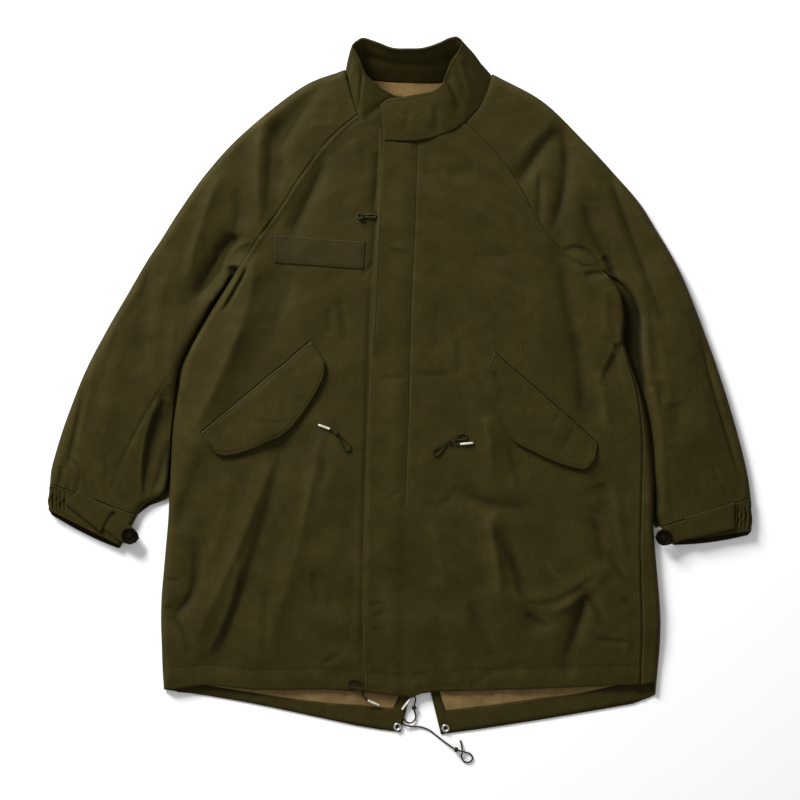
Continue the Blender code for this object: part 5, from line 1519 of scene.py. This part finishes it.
def make_tails():
    for side, rows in (("right", FACING_RIGHT), ("left", FACING_LEFT)):
        points, _ = table_strip(rows, 160, 12, soft=False)
        points[..., 2] = INSIDE_FLOOR + FACING_WALL
        points[..., 2] += FACING_WAVE * noise(points[..., 0], points[..., 1], *FACING_PATCH)
        points = edge_round(points, edge_distance(points, ("low", "high")), FACING_STITCH,
                            drop=0.4, width=0.9, dip=0.35)
        obj = cloth("facing_" + side, points, FACING_WALL - 0.2, shell_cloth)
        lay(obj, points, ["facing_" + side])
        turn = 1 if side == "right" else -1
        lined = [(r[2], r[3] + 0.4, r[2], LINING_TOP_Y) for r in rows[:CORNER]]
        lined.append((rows[CORNER][2] - turn * 0.5, rows[CORNER][3] + 0.4,
                      rows[-1][2] - turn * 0.5, LINING_TOP_Y))
        points, t = table_strip(lined, 150, 26, soft=False)
        x, y = points[..., 0], points[..., 1]
        low = np.minimum(t * 4, 1)
        wide, fine = TAIL_PATCHES
        wave = 0.6 * noise(x * 1.5 + y * 0.4, y * 0.6, *wide) + 0.4 * noise(x + y, y, *fine)
        points[..., 2] = INSIDE_FLOOR + LINING + low * WRINKLE * (0.5 + 0.5 * wave)
        obj = cloth("lining_tail_" + side, points, LINING - 0.2, lining_cloth)
        lay(obj, points, ["lining_tail_" + side])


def make_neck_lining():
    points, t = table_strip(LINING_NECK, 60, 40, soft=False)
    x, y = points[..., 0], points[..., 1]
    points[..., 1] += NECK_DIP * t ** 8
    wave = noise(x * 0.7, y * 1.4, *NECK_PATCH)
    points[..., 2] = INSIDE_FLOOR + LINING + (1 - t ** 3) * WRINKLE * (0.5 + 0.5 * wave)
    obj = cloth("lining_neck", points, LINING - 0.2, lining_cloth)
    lay(obj, points, ["lining_neck"])


make_tails()
make_neck_lining()

# ---------------------------------------------------------------- collar
COLLAR_THICK = 2 * COLLAR_WALL + COLLAR_GAP
COLLAR_STITCH = 4.2
COLLAR_BULGE = 2.2
COLLAR_FOOT = -0.05  # how far below the neck seam its lower edge is tucked
COLLAR_STEPS = 330
COLLAR_STATION = 15.0  # about how far apart the stations of its table lie
COLLAR_PATCH = (14, 61)
BULGE_AT, BULGE_SHARE = (0, 6, 12, 18, 22, 28), (0.2, 0.5, 0.4, 0.6, 0.8, 0.6)
COLLAR_T = (COLLAR_FOOT, 0, 0.02, 0.05, 0.1, 0.16, 0.23, 0.3, 0.37, 0.44, 0.51, 0.58, 0.65, 0.72,
            0.78, 0.83, 0.87, 0.9, 0.925, 0.95, 0.97, 0.985, 1.0)
# hollows and swellings: from station s0 and height t0 to s1 and t1, width, height up for a swelling
COLLAR_DENTS = (
    (21.4, 0.9, 21.8, 0.35, 9.0, -3.2),
    (19.6, 0.85, 20.6, 0.3, 7.0, 1.4),
    (23.6, 0.55, 24.2, 0.15, 8.0, -1.6),
    (25.6, 0.7, 26.4, 0.3, 6.0, -0.8),
    (5.4, 0.8, 5.0, 0.2, 7.0, -2.4),
    (6.6, 0.6, 6.8, 0.1, 6.0, 1.2),
    (2.2, 0.8, 3.2, 0.2, 7.0, -1.6),
    (17.4, 0.6, 18.2, 0.2, 8.0, -1.4),
    (10.0, 0.55, 15.5, 0.5, 6.0, 2.6),
    (16.8, 0.8, 17.2, 0.35, 5.0, -2.6))


def make_collar():
    s = np.linspace(0, len(COLLAR) - 1, COLLAR_STEPS)[:, None]
    t = np.array(COLLAR_T)[None, :]
    base = np.stack([smooth(COLLAR, s[:, 0], k) for k in (0, 1, 2)], -1)[:, None]
    top = np.stack([smooth(COLLAR, s[:, 0], k) for k in (3, 4, 5)], -1)[:, None]
    points = base + (top - base) * t[..., None]
    n = normals(points)
    if n[len(s) // 2, 5, 1] < 0:
        n = -n
    height = np.linalg.norm(top - base, axis=-1)
    down = (1 - t) * height
    rise = COLLAR_BULGE * np.sin(np.pi * np.clip(t, 0, 1)) * np.interp(s, BULGE_AT, BULGE_SHARE)
    rise = rise - 0.5 * hump(down - COLLAR_STITCH, STITCH_DIP_WIDTH) - 0.7 * hump(down, 1.2)
    for s0, t0, s1, t1, width, much in COLLAR_DENTS:
        u = np.clip(((s - s0) * (s1 - s0) + (t - t0) * (t1 - t0))
                    / ((s1 - s0) ** 2 + (t1 - t0) ** 2 + 1e-9), 0, 1)
        away = np.hypot((s - s0 - u * (s1 - s0)) * COLLAR_STATION, (t - t0 - u * (t1 - t0)) * height)
        rise = rise + much * hump(away, width)
    rise = rise + 0.35 * noise(s * COLLAR_STATION, t * height, *COLLAR_PATCH)
    points = points + n * rise[..., None]
    return points, n


collar_points, collar_out = make_collar()
collar = cloth("collar", collar_points, COLLAR_THICK, shell_cloth, out=collar_out)
lay(collar, collar_points, ["collar_outer", "collar_inner"])

# ---------------------------------------------------------------- cuffs
GATHER = 2.2
GATHER_MOST = 2.4
GATHER_END = 3.3
GATHER_PITCH = 1.1
GATHER_FADE = 0.7
GATHER_PATCHES = ((14, 81), (6, 82))  # patch size, seed
BAND_WIDTH = 40  # about, for the pattern of its gathers
CUFF_ROWS_AT = (0.1, 0.9)  # its two rows of stitches, as shares of its width
CUFF_COLUMNS = 252
CUFF_ROWS = 22
MOUTH_SHOWN = 9.0  # how far the under layer shows below the mouth
# painted shade on the cuff band's under layer, where it shows inside the mouth
INSIDE_SHADE = 0.7
TAB_OVER = CLEAR + FLAP_WALL + 0.6


def cuff_grid(ends):
    """The cuff band's outer face, round from its outer edge and back, from its seam to its mouth."""
    outer0, inner0, outer1, inner1 = (np.array(p, float) for p in ends)
    half = CUFF_AROUND // 2
    v = np.linspace(0, 1, CUFF_ROWS)
    columns = []
    for c in np.linspace(0, CUFF_AROUND, CUFF_COLUMNS + 1):
        under = c > half
        k = CUFF_AROUND - c if under else c
        outer = outer0 + (outer1 - outer0) * v[:, None]
        inner = inner0 + (inner1 - inner0) * v[:, None]
        width = np.linalg.norm(inner - outer, axis=1)
        way = (inner - outer) / width[:, None]
        rim = ROUND_UNDER if under else CUFF_EDGE
        sign = -1.0 if under else 1.0
        if k < 2:
            near = outer + way * rim * k / 2
            d, z = rolled(sign * k / 2, sleeve_top(near[:, 0], near[:, 1]), 1.0, rim)
        elif k > half - 2:
            near = inner - way * rim * (half - k) / 2
            d, z = rolled(sign * (half - k) / 2, sleeve_top(near[:, 0], near[:, 1]), 1.0, rim)
            d = width - d
        else:
            d = rim + (width - 2 * rim) * (k - 2) / (half - 4)
            here = outer + way * d[:, None]
            z = np.zeros(v.shape) if under else sleeve_top(here[:, 0], here[:, 1])
        here = outer + way * np.reshape(d, (-1, 1))
        if under:
            down = (outer1 - outer0) / np.linalg.norm(outer1 - outer0)
            here = here + down * (MOUTH_SHOWN * v * math.sin(math.pi * k / half))[:, None]
        columns.append(np.concatenate([here, np.reshape(z + 0 * v, (-1, 1))], 1))
    return np.stack(columns), v


def make_cuffs():
    for side, ends in (("right", CUFF_RIGHT), ("left", CUFF_LEFT)):
        points, v = cuff_grid(ends)
        c = np.linspace(0, CUFF_AROUND, CUFF_COLUMNS + 1)[:, None]
        loose = ease((GATHER_END - np.minimum(c, CUFF_AROUND - c)) / GATHER_FADE)
        along = run_along(points, 0)
        wide, fine = (noise(along, v[None, :] * BAND_WIDTH, *patch) for patch in GATHER_PATCHES)
        lean = wide + 0.6 * fine
        pleats = np.sin(along * GATHER_PITCH + 2.4 * lean) * (0.65 + 0.5 * lean)
        rise = GATHER * loose * pleats * np.sin(np.pi * np.clip(v, 0.06, 0.94))[None, :]
        for row, dip in zip(CUFF_ROWS_AT, (0.5, 0.4)):
            rise = rise - dip * hump(v[None, :] - row, 0.03)
        n = normals(points)
        middle = points.mean(axis=(0, 1))
        if ((points - middle) * n).sum() < 0:
            n = -n
        top = points[..., 2:] > 3.0
        points = points + n * np.minimum(rise, GATHER_MOST)[..., None] * top
        points[-1] = points[0]
        # painted shade: the under layer seen inside the mouth is darkened
        inside = INSIDE_SHADE * (points[..., 2] < 3.0) * (v[None, :] > 0.4)
        obj = cloth("cuff_band_" + side, points, CUFF_WALL, shell_cloth, ring=True, out=n, painted_shade=inside)
        lay(obj, points, ["cuff_band_" + side])


def merged(obj, other):
    """Takes another cloth's mesh into a piece's own."""
    bm = bmesh.new()
    bm.from_mesh(obj.data)
    bm.from_mesh(other.data)
    bm.to_mesh(obj.data)
    bm.free()
    bpy.data.objects.remove(other)


STRAP_ROWS = 3  # rows of the tab's table that its wide strap takes
TONGUE_TUCK = 9.0  # how far the narrow end runs back under the strap
STRAP_LIFT = 1.3


def tab_part(rows, lift, sides, step):
    points, _ = table_strip(rows, 70, 26, soft=False)
    points[..., 2] = sleeve_top(points[..., 0], points[..., 1]) + TAB_OVER + lift
    return edge_round(points, edge_distance(points, sides), TAB_STITCH, drop=step, width=1.1, dip=0.45)


def make_tabs():
    for side, rows in (("right", TAB_RIGHT), ("left", TAB_LEFT)):
        strap, tongue = rows[:STRAP_ROWS], list(rows[STRAP_ROWS:])
        (ax, ay, bx, by), (cx, cy, dx, dy) = tongue[0], tongue[1]
        back = TONGUE_TUCK / math.hypot(cx - ax, cy - ay)
        tongue[0] = (ax - (cx - ax) * back, ay - (cy - ay) * back,
                     bx - (dx - bx) * back, by - (dy - by) * back)
        points = tab_part(strap, STRAP_LIFT, ("low", "high", "first", "last"), 1.0)
        obj = cloth("cuff_tab_" + side, points, FLAP_WALL, shell_cloth)
        end = tab_part(tongue, -0.6, ("low", "high", "last"), 0.8)
        merged(obj, cloth("cuff_tongue_" + side, end, FLAP_WALL, shell_cloth))
        lay(obj, np.concatenate([points, end]), ["cuff_tab_" + side])


make_cuffs()
make_tabs()


# ---------------------------------------------------------------- what lies under a point
def tree_of(*names):
    trees = []
    for name in names:
        obj = bpy.data.objects[named(name)]
        bm = bmesh.new()
        bm.from_mesh(obj.data)
        trees.append(BVHTree.FromBMesh(bm))
        bm.free()
    return trees


def resting(trees):
    """Height and normal of what lies under a point of the part, in millimetres."""
    def at(x, y):
        best, up = 0.0, Vector((0, 0, 1))
        sx, sy, _ = placed((x, y, 0.0))
        for tree in trees:
            hit, normal, _, _ = tree.ray_cast(Vector((sx, sy, 1.0)), Vector((0, 0, -1)))
            if hit is not None and hit.z / MM > best:
                best, up = hit.z / MM, normal
        return best, up

    return at


# ---------------------------------------------------------------- buttons and snaps
TURN_STEPS = 48


def turned(name, section, at, material):
    """A turned piece from its section, radius and height, screwed round its axis."""
    bm = bmesh.new()
    rings = []
    for k in range(TURN_STEPS):
        turn = 2 * math.pi * k / TURN_STEPS
        rings.append([bm.verts.new(placed((at[0] + r * math.cos(turn), at[1] + r * math.sin(turn),
                                           at[2] + z))) for r, z in section])
    for k in range(TURN_STEPS):
        a, b = rings[k], rings[(k + 1) % TURN_STEPS]
        for i in range(len(section) - 1):
            bm.faces.new((a[i], b[i], b[i + 1], a[i + 1]))
    bmesh.ops.remove_doubles(bm, verts=bm.verts, dist=1e-7)
    bmesh.ops.recalc_face_normals(bm, faces=bm.faces)
    mesh = bpy.data.meshes.new(named(name))
    bm.to_mesh(mesh)
    bm.free()
    mesh.materials.append(material)
    mesh.shade_smooth()
    obj = bpy.data.objects.new(named(name), mesh)
    scene.collection.objects.link(obj)
    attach(obj, "root")
    return obj


BUTTON_CURVE = ((0, 0), (9.4, 0), (10.4, 0.4), (11, 1.2), (11, 2.0), (10.6, 2.7), (9.9, 3.1), (9.2, 3.0),
                (8.5, 2.5), (7.7, 2.1), (5.5, 1.9), (3.0, 1.85), (0, 1.85))
HOLE_OUT = 2.4
HOLE_R = 0.95
BUTTON_BASE = 1.8  # where the thread leaves the button, over its underside
THREAD_R = 0.38
SNAP_RING = ((2.5, 0), (5.4, 0), (5.7, 0.3), (5.6, 0.9), (5.0, 1.5), (4.2, 1.75), (3.4, 1.6), (2.8, 1.0),
             (2.5, 0.5), (2.5, 0))
SNAP_CUP = ((0, 0.1), (2.6, 0.1), (2.6, 0.75), (1.7, 0.85), (1.2, 0.55), (0, 0.45))


def joined(name, parts, material):
    """One mesh from lists of points and faces."""
    points, faces = [], []
    for more, these in parts:
        faces += [[k + len(points) for k in face] for face in these]
        points += more
    obj = add_mesh(name, placed(points), faces, material)
    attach(obj, "root")
    return obj


def tube(path, radius, sides=8):
    """A closed tube round a path of points, in millimetres."""
    path = [Vector(p) for p in path]
    points, faces = [], []
    for k, here in enumerate(path):
        way = (path[min(k + 1, len(path) - 1)] - path[max(k - 1, 0)]).normalized()
        side = way.cross(Vector((0, 0, 1)))
        side = side.normalized() if side.length > 0.05 else Vector((1, 0, 0))
        up = side.cross(way)
        r = radius[k] if hasattr(radius, "__len__") else radius
        for i in range(sides):
            turn = 2 * math.pi * i / sides
            points.append(tuple(here + side * math.cos(turn) * r + up * math.sin(turn) * r))
    for k in range(len(path) - 1):
        for i in range(sides):
            j = (i + 1) % sides
            faces.append([k * sides + i, k * sides + j, (k + 1) * sides + j, (k + 1) * sides + i])
    faces.append(list(range(sides))[::-1])
    faces.append([(len(path) - 1) * sides + i for i in range(sides)])
    return points, faces


def make_buttons():
    for k, side in enumerate(("right", "left")):
        x, y = BUTTON_AT[k]
        height = resting(tree_of("cuff_tab_" + side))(x, y)[0]
        height = height if height > 5 else CUFF_H
        z = height + 0.2
        obj = turned("cuff_button_" + side, BUTTON_CURVE, (x, y, z), horn)
        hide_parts("cuff_button_" + side)
        # the holes are not cut: a dark disc in each paints their shade
        hole_shades, sewing = [], []
        for i in range(4):
            turn = math.pi / 4 + i * math.pi / 2
            hx, hy = x + HOLE_OUT * math.cos(turn), y + HOLE_OUT * math.sin(turn)
            hole_shades.append(tube([(hx, hy, z + 1.6), (hx, hy, z + 1.9)], HOLE_R, 14))
            fx, fy = x - HOLE_OUT * math.cos(turn), y - HOLE_OUT * math.sin(turn)
            if i < 2:
                path = [(hx, hy, z + BUTTON_BASE), (hx * 0.8 + fx * 0.2, hy * 0.8 + fy * 0.2, z + 2.3),
                        (x, y, z + 2.45), (hx * 0.2 + fx * 0.8, hy * 0.2 + fy * 0.8, z + 2.3),
                        (fx, fy, z + BUTTON_BASE)]
                sewing.append(tube(path, THREAD_R))
        joined("button_hole_shades_" + side, hole_shades, snap_dark)
        joined("button_thread_" + side, sewing, thread)


def make_snaps():
    for k, side in enumerate(("right", "left")):
        x, y = SNAP_AT[k]
        z = resting(tree_of("facing_" + side))(x, y)[0] + 0.1
        ring = turned("tail_snap_" + side, SNAP_RING, (x, y, z), steel)
        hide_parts("tail_snap_" + side)
        turned("tail_snap_cup_" + side, SNAP_CUP, (x, y, z), snap_dark)


make_buttons()
make_snaps()

# ---------------------------------------------------------------- drawcords
on_front = resting(tree_of("front_right", "front_left"))


def lifted(route):
    return [(x, y, on_front(x, y)[0] + lift) for x, y, lift in route]


ROUTE_PARTS = 6
KNOT_TURNS = ((-1.1, 0.5), (0.2, -0.45), (1.3, 0.35))  # shift along the cord, lean
KNOT_STEPS = 16
KNOT_END = 0.86  # how much smaller the outer turns are
# a cord tip's outline: how far along it and its radius there
TIP_SHAPE = ((0.0, 1.25), (0.02, 1.6), (0.1, 1.7), (0.14, 1.45), (0.2, 1.45), (0.24, 1.7), (0.85, 1.6),
             (0.95, 1.4), (1.0, 0.9))


def fine_route(points):
    v = np.linspace(0, len(points) - 1, ROUTE_PARTS * (len(points) - 1) + 1)
    return np.stack([smooth(points, v, k) for k in range(3)], -1)


def make_cord(name, route, diameter, material):
    path = fine_route(route)
    data = bpy.data.curves.new(name, "CURVE")
    data.dimensions = "3D"
    data.bevel_depth = diameter / 2 * MM
    data.bevel_resolution = 3
    data.use_fill_caps = True
    spline = data.splines.new("POLY")
    spline.points.add(len(path) - 1)
    for point, here in zip(spline.points, placed(path)):
        point.co = (*here, 1.0)
    data.materials.append(material)
    obj = bpy.data.objects.new(named(name), data)
    scene.collection.objects.link(obj)
    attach(obj, "root")
    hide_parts(name)


def make_knot(name, route, k):
    """A pulled knot: three turns of the cord round itself, each leaning its own way."""
    here = Vector(route[k])
    way = (Vector(route[k + 1]) - Vector(route[k - 1])).normalized()
    side = way.cross(Vector((0, 0, 1))).normalized()
    up = side.cross(way)
    ring, tube_r = KNOT_SHAPE
    turns = []
    for shift, lean in KNOT_TURNS:
        path = []
        for i in range(KNOT_STEPS + 1):
            turn = 2 * math.pi * i / KNOT_STEPS
            r = ring * (1.0 if abs(shift) < 1 else KNOT_END)
            path.append(here + way * (shift + lean * math.cos(turn)) + side * math.cos(turn) * r
                        + up * math.sin(turn) * r)
        turns.append(tube(path, tube_r, 10))
    obj = joined(name, turns, cord_cloth)
    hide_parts(name)
    return obj


def make_tip(name, a, b):
    """A moulded cord end: a sleeve with a crimped band and a rounded tip."""
    a, b = Vector(a), Vector(b)
    path = [a + (b - a) * s for s, _ in TIP_SHAPE]
    obj = joined(name, [tube(path, [r for _, r in TIP_SHAPE], 16)], ivory)
    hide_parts(name)
    return obj


def make_cords():
    waists = {"right": lifted(WAIST_RIGHT), "left": lifted(WAIST_LEFT)}
    for side, route in waists.items():
        a, b, lift = AGLETS["waist_tip_" + side]
        tip = make_tip("waist_tip_" + side, *((x, y, on_front(x, y)[0] + lift) for x, y in (a, b)))
        node = make_knot("waist_knot_" + side, route, 10)
        make_cord("waist_cord_" + side, route, CORD_D, cord_cloth)
    hem = lifted(HEM_RIGHT)
    for (name, knot_name, k, route, tip_name) in (
            ("hem_cord_right", "hem_knot_right", 7, hem, "hem_tip_right"),
            ("tail_cord_tip", "tail_knot_tip", 6, TAIL_A, "tail_tip"),
            ("tail_cord_long", "tail_knot_long", 7, TAIL_B, None)):
        parts = [make_knot(knot_name, route, k)]
        if tip_name:
            parts.append(make_tip(tip_name, *TAIL_TIPS[tip_name]))
        make_cord(name, route, CORD_D, cord_cloth)


KNOT_SPREAD = 0.8
CHEST_LOOPS = ((0.0, 1.0), (1.2, 0.85), (2.2, 0.9))  # lean, flatness
LOOP_STEPS = 20


def make_chest_pull():
    knot_at, shape = CHEST_KNOT
    here = Vector((*knot_at[:2], on_front(*knot_at[:2])[0] + knot_at[2]))
    loops = []
    for lean, flat in CHEST_LOOPS:
        path = []
        for i in range(LOOP_STEPS + 1):
            turn = 2 * math.pi * i / LOOP_STEPS
            p = Vector((math.cos(turn) * shape[0] * KNOT_SPREAD,
                        math.sin(turn) * shape[1] * KNOT_SPREAD * flat,
                        math.sin(2 * turn + lean) * shape[2] * 0.4))
            path.append(here + Vector((p.x * math.cos(lean) - p.y * math.sin(lean),
                                       p.x * math.sin(lean) + p.y * math.cos(lean), p.z)))
        loops.append(tube(path, PULL_D * 0.5, 10))
    obj = joined("chest_knot", loops, pull_cloth)
    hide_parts("chest_knot")
    make_cord("chest_pull", lifted(CHEST), PULL_D, pull_cloth)


make_cords()
make_chest_pull()

# ---------------------------------------------------------------- sewing
STITCH_PITCH = 3.2
STITCH_LENGTH = 2.6
STITCH_WIDTH = 0.9
STITCH_RISE = 0.28
STITCH_CLEAR = 0.02
WELT_R = 0.75


def stitch(at, way, up):
    """One stitch: a low pointed lozenge of thread lying on the cloth."""
    at, way, up = Vector(at), Vector(way).normalized(), Vector(up).normalized()
    side = up.cross(way).normalized()
    half, wide = way * STITCH_LENGTH / 2, side * STITCH_WIDTH / 2
    points = [at - half, at + half, at + wide, at - wide, at + up * STITCH_RISE, at - up * STITCH_RISE]
    faces = [(0, 2, 4), (2, 1, 4), (1, 3, 4), (3, 0, 4), (2, 0, 5), (1, 2, 5), (3, 1, 5), (0, 3, 5)]
    return [tuple(p) for p in points], faces


def paced(line):
    """Places a pitch apart along a line, and the way it runs there."""
    line = np.asarray(line, float)
    run = np.concatenate([[0], np.cumsum(np.linalg.norm(np.diff(line, axis=0), axis=1))])
    at = np.arange(STITCH_PITCH / 2, run[-1], STITCH_PITCH)
    here = np.stack([np.interp(at, run, line[:, k]) for k in range(line.shape[1])], -1)
    ahead = np.stack([np.interp(at + 0.5, run, line[:, k]) for k in range(line.shape[1])], -1)
    return here, ahead - here


def sewn_rows(name, lines, *under):
    """Rows of stitches along flat lines, laid on the pieces under them."""
    ground = resting(tree_of(*under))
    parts = []
    for line in lines:
        for (x, y), (dx, dy) in zip(*paced(line)):
            z, up = ground(x, y)
            if z > 1.0:
                slope = Vector((dx, dy, 0))
                slope -= up * slope.dot(up)
                if slope.length > 1e-6:
                    parts.append(stitch((x, y, z + STITCH_CLEAR), slope, up))
    obj = joined("stitches_" + name, parts, thread)


def piped(name, lines, radius, *under):
    """Narrow pressed welts along flat lines, laid on the pieces under them."""
    ground = resting(tree_of(*under))
    parts = [tube([(x, y, ground(x, y)[0] + radius * 0.3) for x, y in line], radius, 6) for line in lines]
    joined("welts_" + name, parts, thread)


def beside_seam(left, first, last, offset):
    """A line on a front beside its side or raglan seam, from one row to another."""
    v = np.linspace(first, last, 160)
    wrap = np.maximum(smooth(BODY_ROWS, v, 4), 0.0)
    start = EDGE_START + (seam_step(wrap) if left else 0.0)
    d = rolled(start, 0.0, 0.0, ROUND)[0] + offset
    x, y, _, length = along_row(left, v, d)
    return np.stack([x, hem_and_neck(left, v, x, y, d / length)], -1)


def on_flap(inward=None, outward=None):
    """A line down the storm flap, in from its sewn edge or from its free edge."""
    v = np.linspace(0.05, NECK - 0.3, 200)
    sewn, free, length = flap_reach(v)
    d = sewn + inward if outward is None else free - outward
    x, y, _, _ = along_row(True, v, d)
    return np.stack([x, hem_and_neck(True, v, x, y, d / length)], -1)


def inset(rows, by, soft=True, sides=("low", "last", "high", "first")):
    """The outline of a table's strip, moved in, as separate lines."""
    points, _ = table_strip(rows, 200, 2, soft)
    a, b = points[:, 0, :2], points[:, 1, :2]
    width = np.linalg.norm(b - a, axis=1)
    share = np.minimum(by / np.maximum(width, 1e-6), 0.5)[:, None]
    run = np.concatenate([[0], np.cumsum(np.linalg.norm(np.diff((a + b) / 2, axis=0), axis=1))])
    inner = (run > by) & (run < run[-1] - by)
    low, high = (a + (b - a) * share)[inner], (b - (b - a) * share)[inner]
    lines = {"low": low, "high": high[::-1], "last": np.stack([low[-1], high[-1]]),
             "first": np.stack([high[0], low[0]])}
    return [lines[s] for s in sides]


def beyond(rows, by):
    """A line beside a strip's first edge, outside it."""
    points, _ = table_strip(rows, 60, 2)
    a, b = points[:, 0, :2], points[:, 1, :2]
    return a - (b - a) / np.linalg.norm(b - a, axis=1)[:, None] * by


# the ends of the waist channel beside the left side seam, and the seams that cross the hem
WAIST_CHANNEL = (((300, -18), (318, -14), (332, -10)), ((307, -39), (320, -37), (332, -35)))
HEM_SEAMS = (((-262, -385), (-259, -400), (-256, -412)), ((228, -385), (229, -400), (230, -414)))
# the two edges of the collar's buttonhole and two short rows above it
BUTTONHOLE = (((-4.2, 374.2), (9.2, 358.9)), ((-3.2, 374.9), (10.2, 359.6)),
              ((-12.5, 379.5), (-9.6, 379.1)), ((0.0, 378.4), (18.9, 380.3)))
HEM_ENDS = ((-318.0, -50.0), (-44.0, 340.0))  # its stitches, on either side of the storm flap's edge


def sew():
    for side, left in (("right", False), ("left", True)):
        lines = [beside_seam(left, UNDERARM, NECK - 0.2, row) for row in FELL_ROWS]
        if left:
            lines += [beside_seam(left, 0.05, UNDERARM, row) for row in FELL_ROWS]
        sewn_rows("seams_" + side, lines, "front_" + side)
    show = on_flap(inward=FLAP_ROWS[0])[:, 1] > FLAP_SEAM_END
    lines = [on_flap(inward=row)[show] for row in FLAP_ROWS] + [on_flap(outward=FLAP_STITCH)]
    sewn_rows("storm_flap", lines, "front_left")
    lines = []
    for first, last in HEM_ENDS:
        x = np.linspace(first, last, 150)
        lines.append(np.stack([x, np.interp(x, FRONT_HEM_X, HEM_FRONT) + CHANNEL], -1))
    lines += [np.array(row, float) for row in (WAIST_CHANNEL + HEM_SEAMS)]
    sewn_rows("hem", lines, "front_right", "front_left")
    for side, rows in (("right", FLAP_RIGHT), ("left", FLAP_LEFT)):
        sewn_rows("pocket_flap_" + side, inset(rows, FLAP_TOPSTITCH), "pocket_flap_" + side)
        piped(side, [beyond(rows, FLAP_WELT)], WELT_R, "front_" + side)
    sewn_rows("name_tape", inset(TAPE, TAPE_STITCH, False), "name_tape")
    for side, rows in (("right", FACING_RIGHT), ("left", FACING_LEFT)):
        sewn_rows("facing_" + side, inset(rows, FACING_STITCH, False, ("low", "high")), "facing_" + side)
    for side, rows in (("right", TAB_RIGHT), ("left", TAB_LEFT)):
        lines = inset(rows[:STRAP_ROWS], TAB_STITCH, False)
        lines += inset(rows[STRAP_ROWS:], TAB_STITCH, False, ("low", "last", "high"))
        sewn_rows("tab_" + side, lines, "cuff_tab_" + side)
    sewn_rows("buttonhole", [np.array(line, float) for line in BUTTONHOLE], "collar")
    for side, ends in (("right", CUFF_RIGHT), ("left", CUFF_LEFT)):
        o0, i0, o1, i1 = (np.array(p, float) for p in ends)
        lines = [np.stack([o0 + (o1 - o0) * v, i0 + (i1 - i0) * v]) for v in CUFF_ROWS_AT]
        sewn_rows("cuff_" + side, lines, "cuff_band_" + side)


def sew_collar():
    height = np.linalg.norm(collar_points[:, -1] - collar_points[:, 1], axis=1)
    t_of = np.array(COLLAR_T)
    lines = []
    for inner in (False, True):
        line, ups = [], []
        for k in range(len(collar_points)):
            t = 1 - COLLAR_STITCH / height[k]
            j = int(np.argmin(np.abs(t_of - t)))
            up = collar_out[k, j]
            if inner:
                line.append(collar_points[k, j] - up * (COLLAR_THICK + STITCH_CLEAR))
                ups.append(-up)
            else:
                line.append(collar_points[k, j] + up * STITCH_CLEAR)
                ups.append(up)
        lines.append((np.array(line), np.array(ups)))
    parts = []
    for line, ups in lines:
        here, way = paced(line)
        near = [int(np.argmin(np.linalg.norm(line - p, axis=1))) for p in here]
        parts += [stitch(p, w, ups[k]) for p, w, k in zip(here, way, near) if np.linalg.norm(w) > 0]
    joined("stitches_collar", parts, thread)


sew()
sew_collar()

# ---------------------------------------------------------------- stage
FLOOR_COLOUR = (0.9, 0.9, 0.9)
FLOOR_HALF = 6.0
FLOOR_DROP = 0.0003  # metres, so that it doesn't meet the underside
SKY = 0.5
KEY_POWER = 205.0
KEY_SIZE = 1.1
KEY_AT = (-1.7, 2.3, 1.6)


def add_stage():
    mesh = bpy.data.meshes.new("floor")
    r = FLOOR_HALF
    mesh.from_pydata([(-r, -r, 0), (r, -r, 0), (r, r, 0), (-r, r, 0)], [], [(0, 1, 2, 3)])
    mat, _, bsdf = new_material("floor")
    bsdf.inputs["Base Color"].default_value = (*FLOOR_COLOUR, 1)
    bsdf.inputs["Roughness"].default_value = 0.9
    bsdf.inputs["Specular IOR Level"].default_value = 0.0
    mesh.materials.append(mat)
    floor = bpy.data.objects.new("floor", mesh)
    floor.location.z = -FLOOR_DROP
    scene.collection.objects.link(floor)
    world = scene.world or bpy.data.worlds.new("world")
    scene.world = world
    world.use_nodes = True
    background = world.node_tree.nodes["Background"]
    background.inputs[0].default_value = (1, 1, 1, 1)
    background.inputs[1].default_value = SKY
    lamp = bpy.data.lights.new("key", "AREA")
    lamp.energy = KEY_POWER
    lamp.size = KEY_SIZE
    key = bpy.data.objects.new("key", lamp)
    key.location = KEY_AT
    key.rotation_euler = (-key.location).to_track_quat("-Z", "Y").to_euler()
    scene.collection.objects.link(key)
    scene.view_settings.view_transform = "Standard"


add_stage()
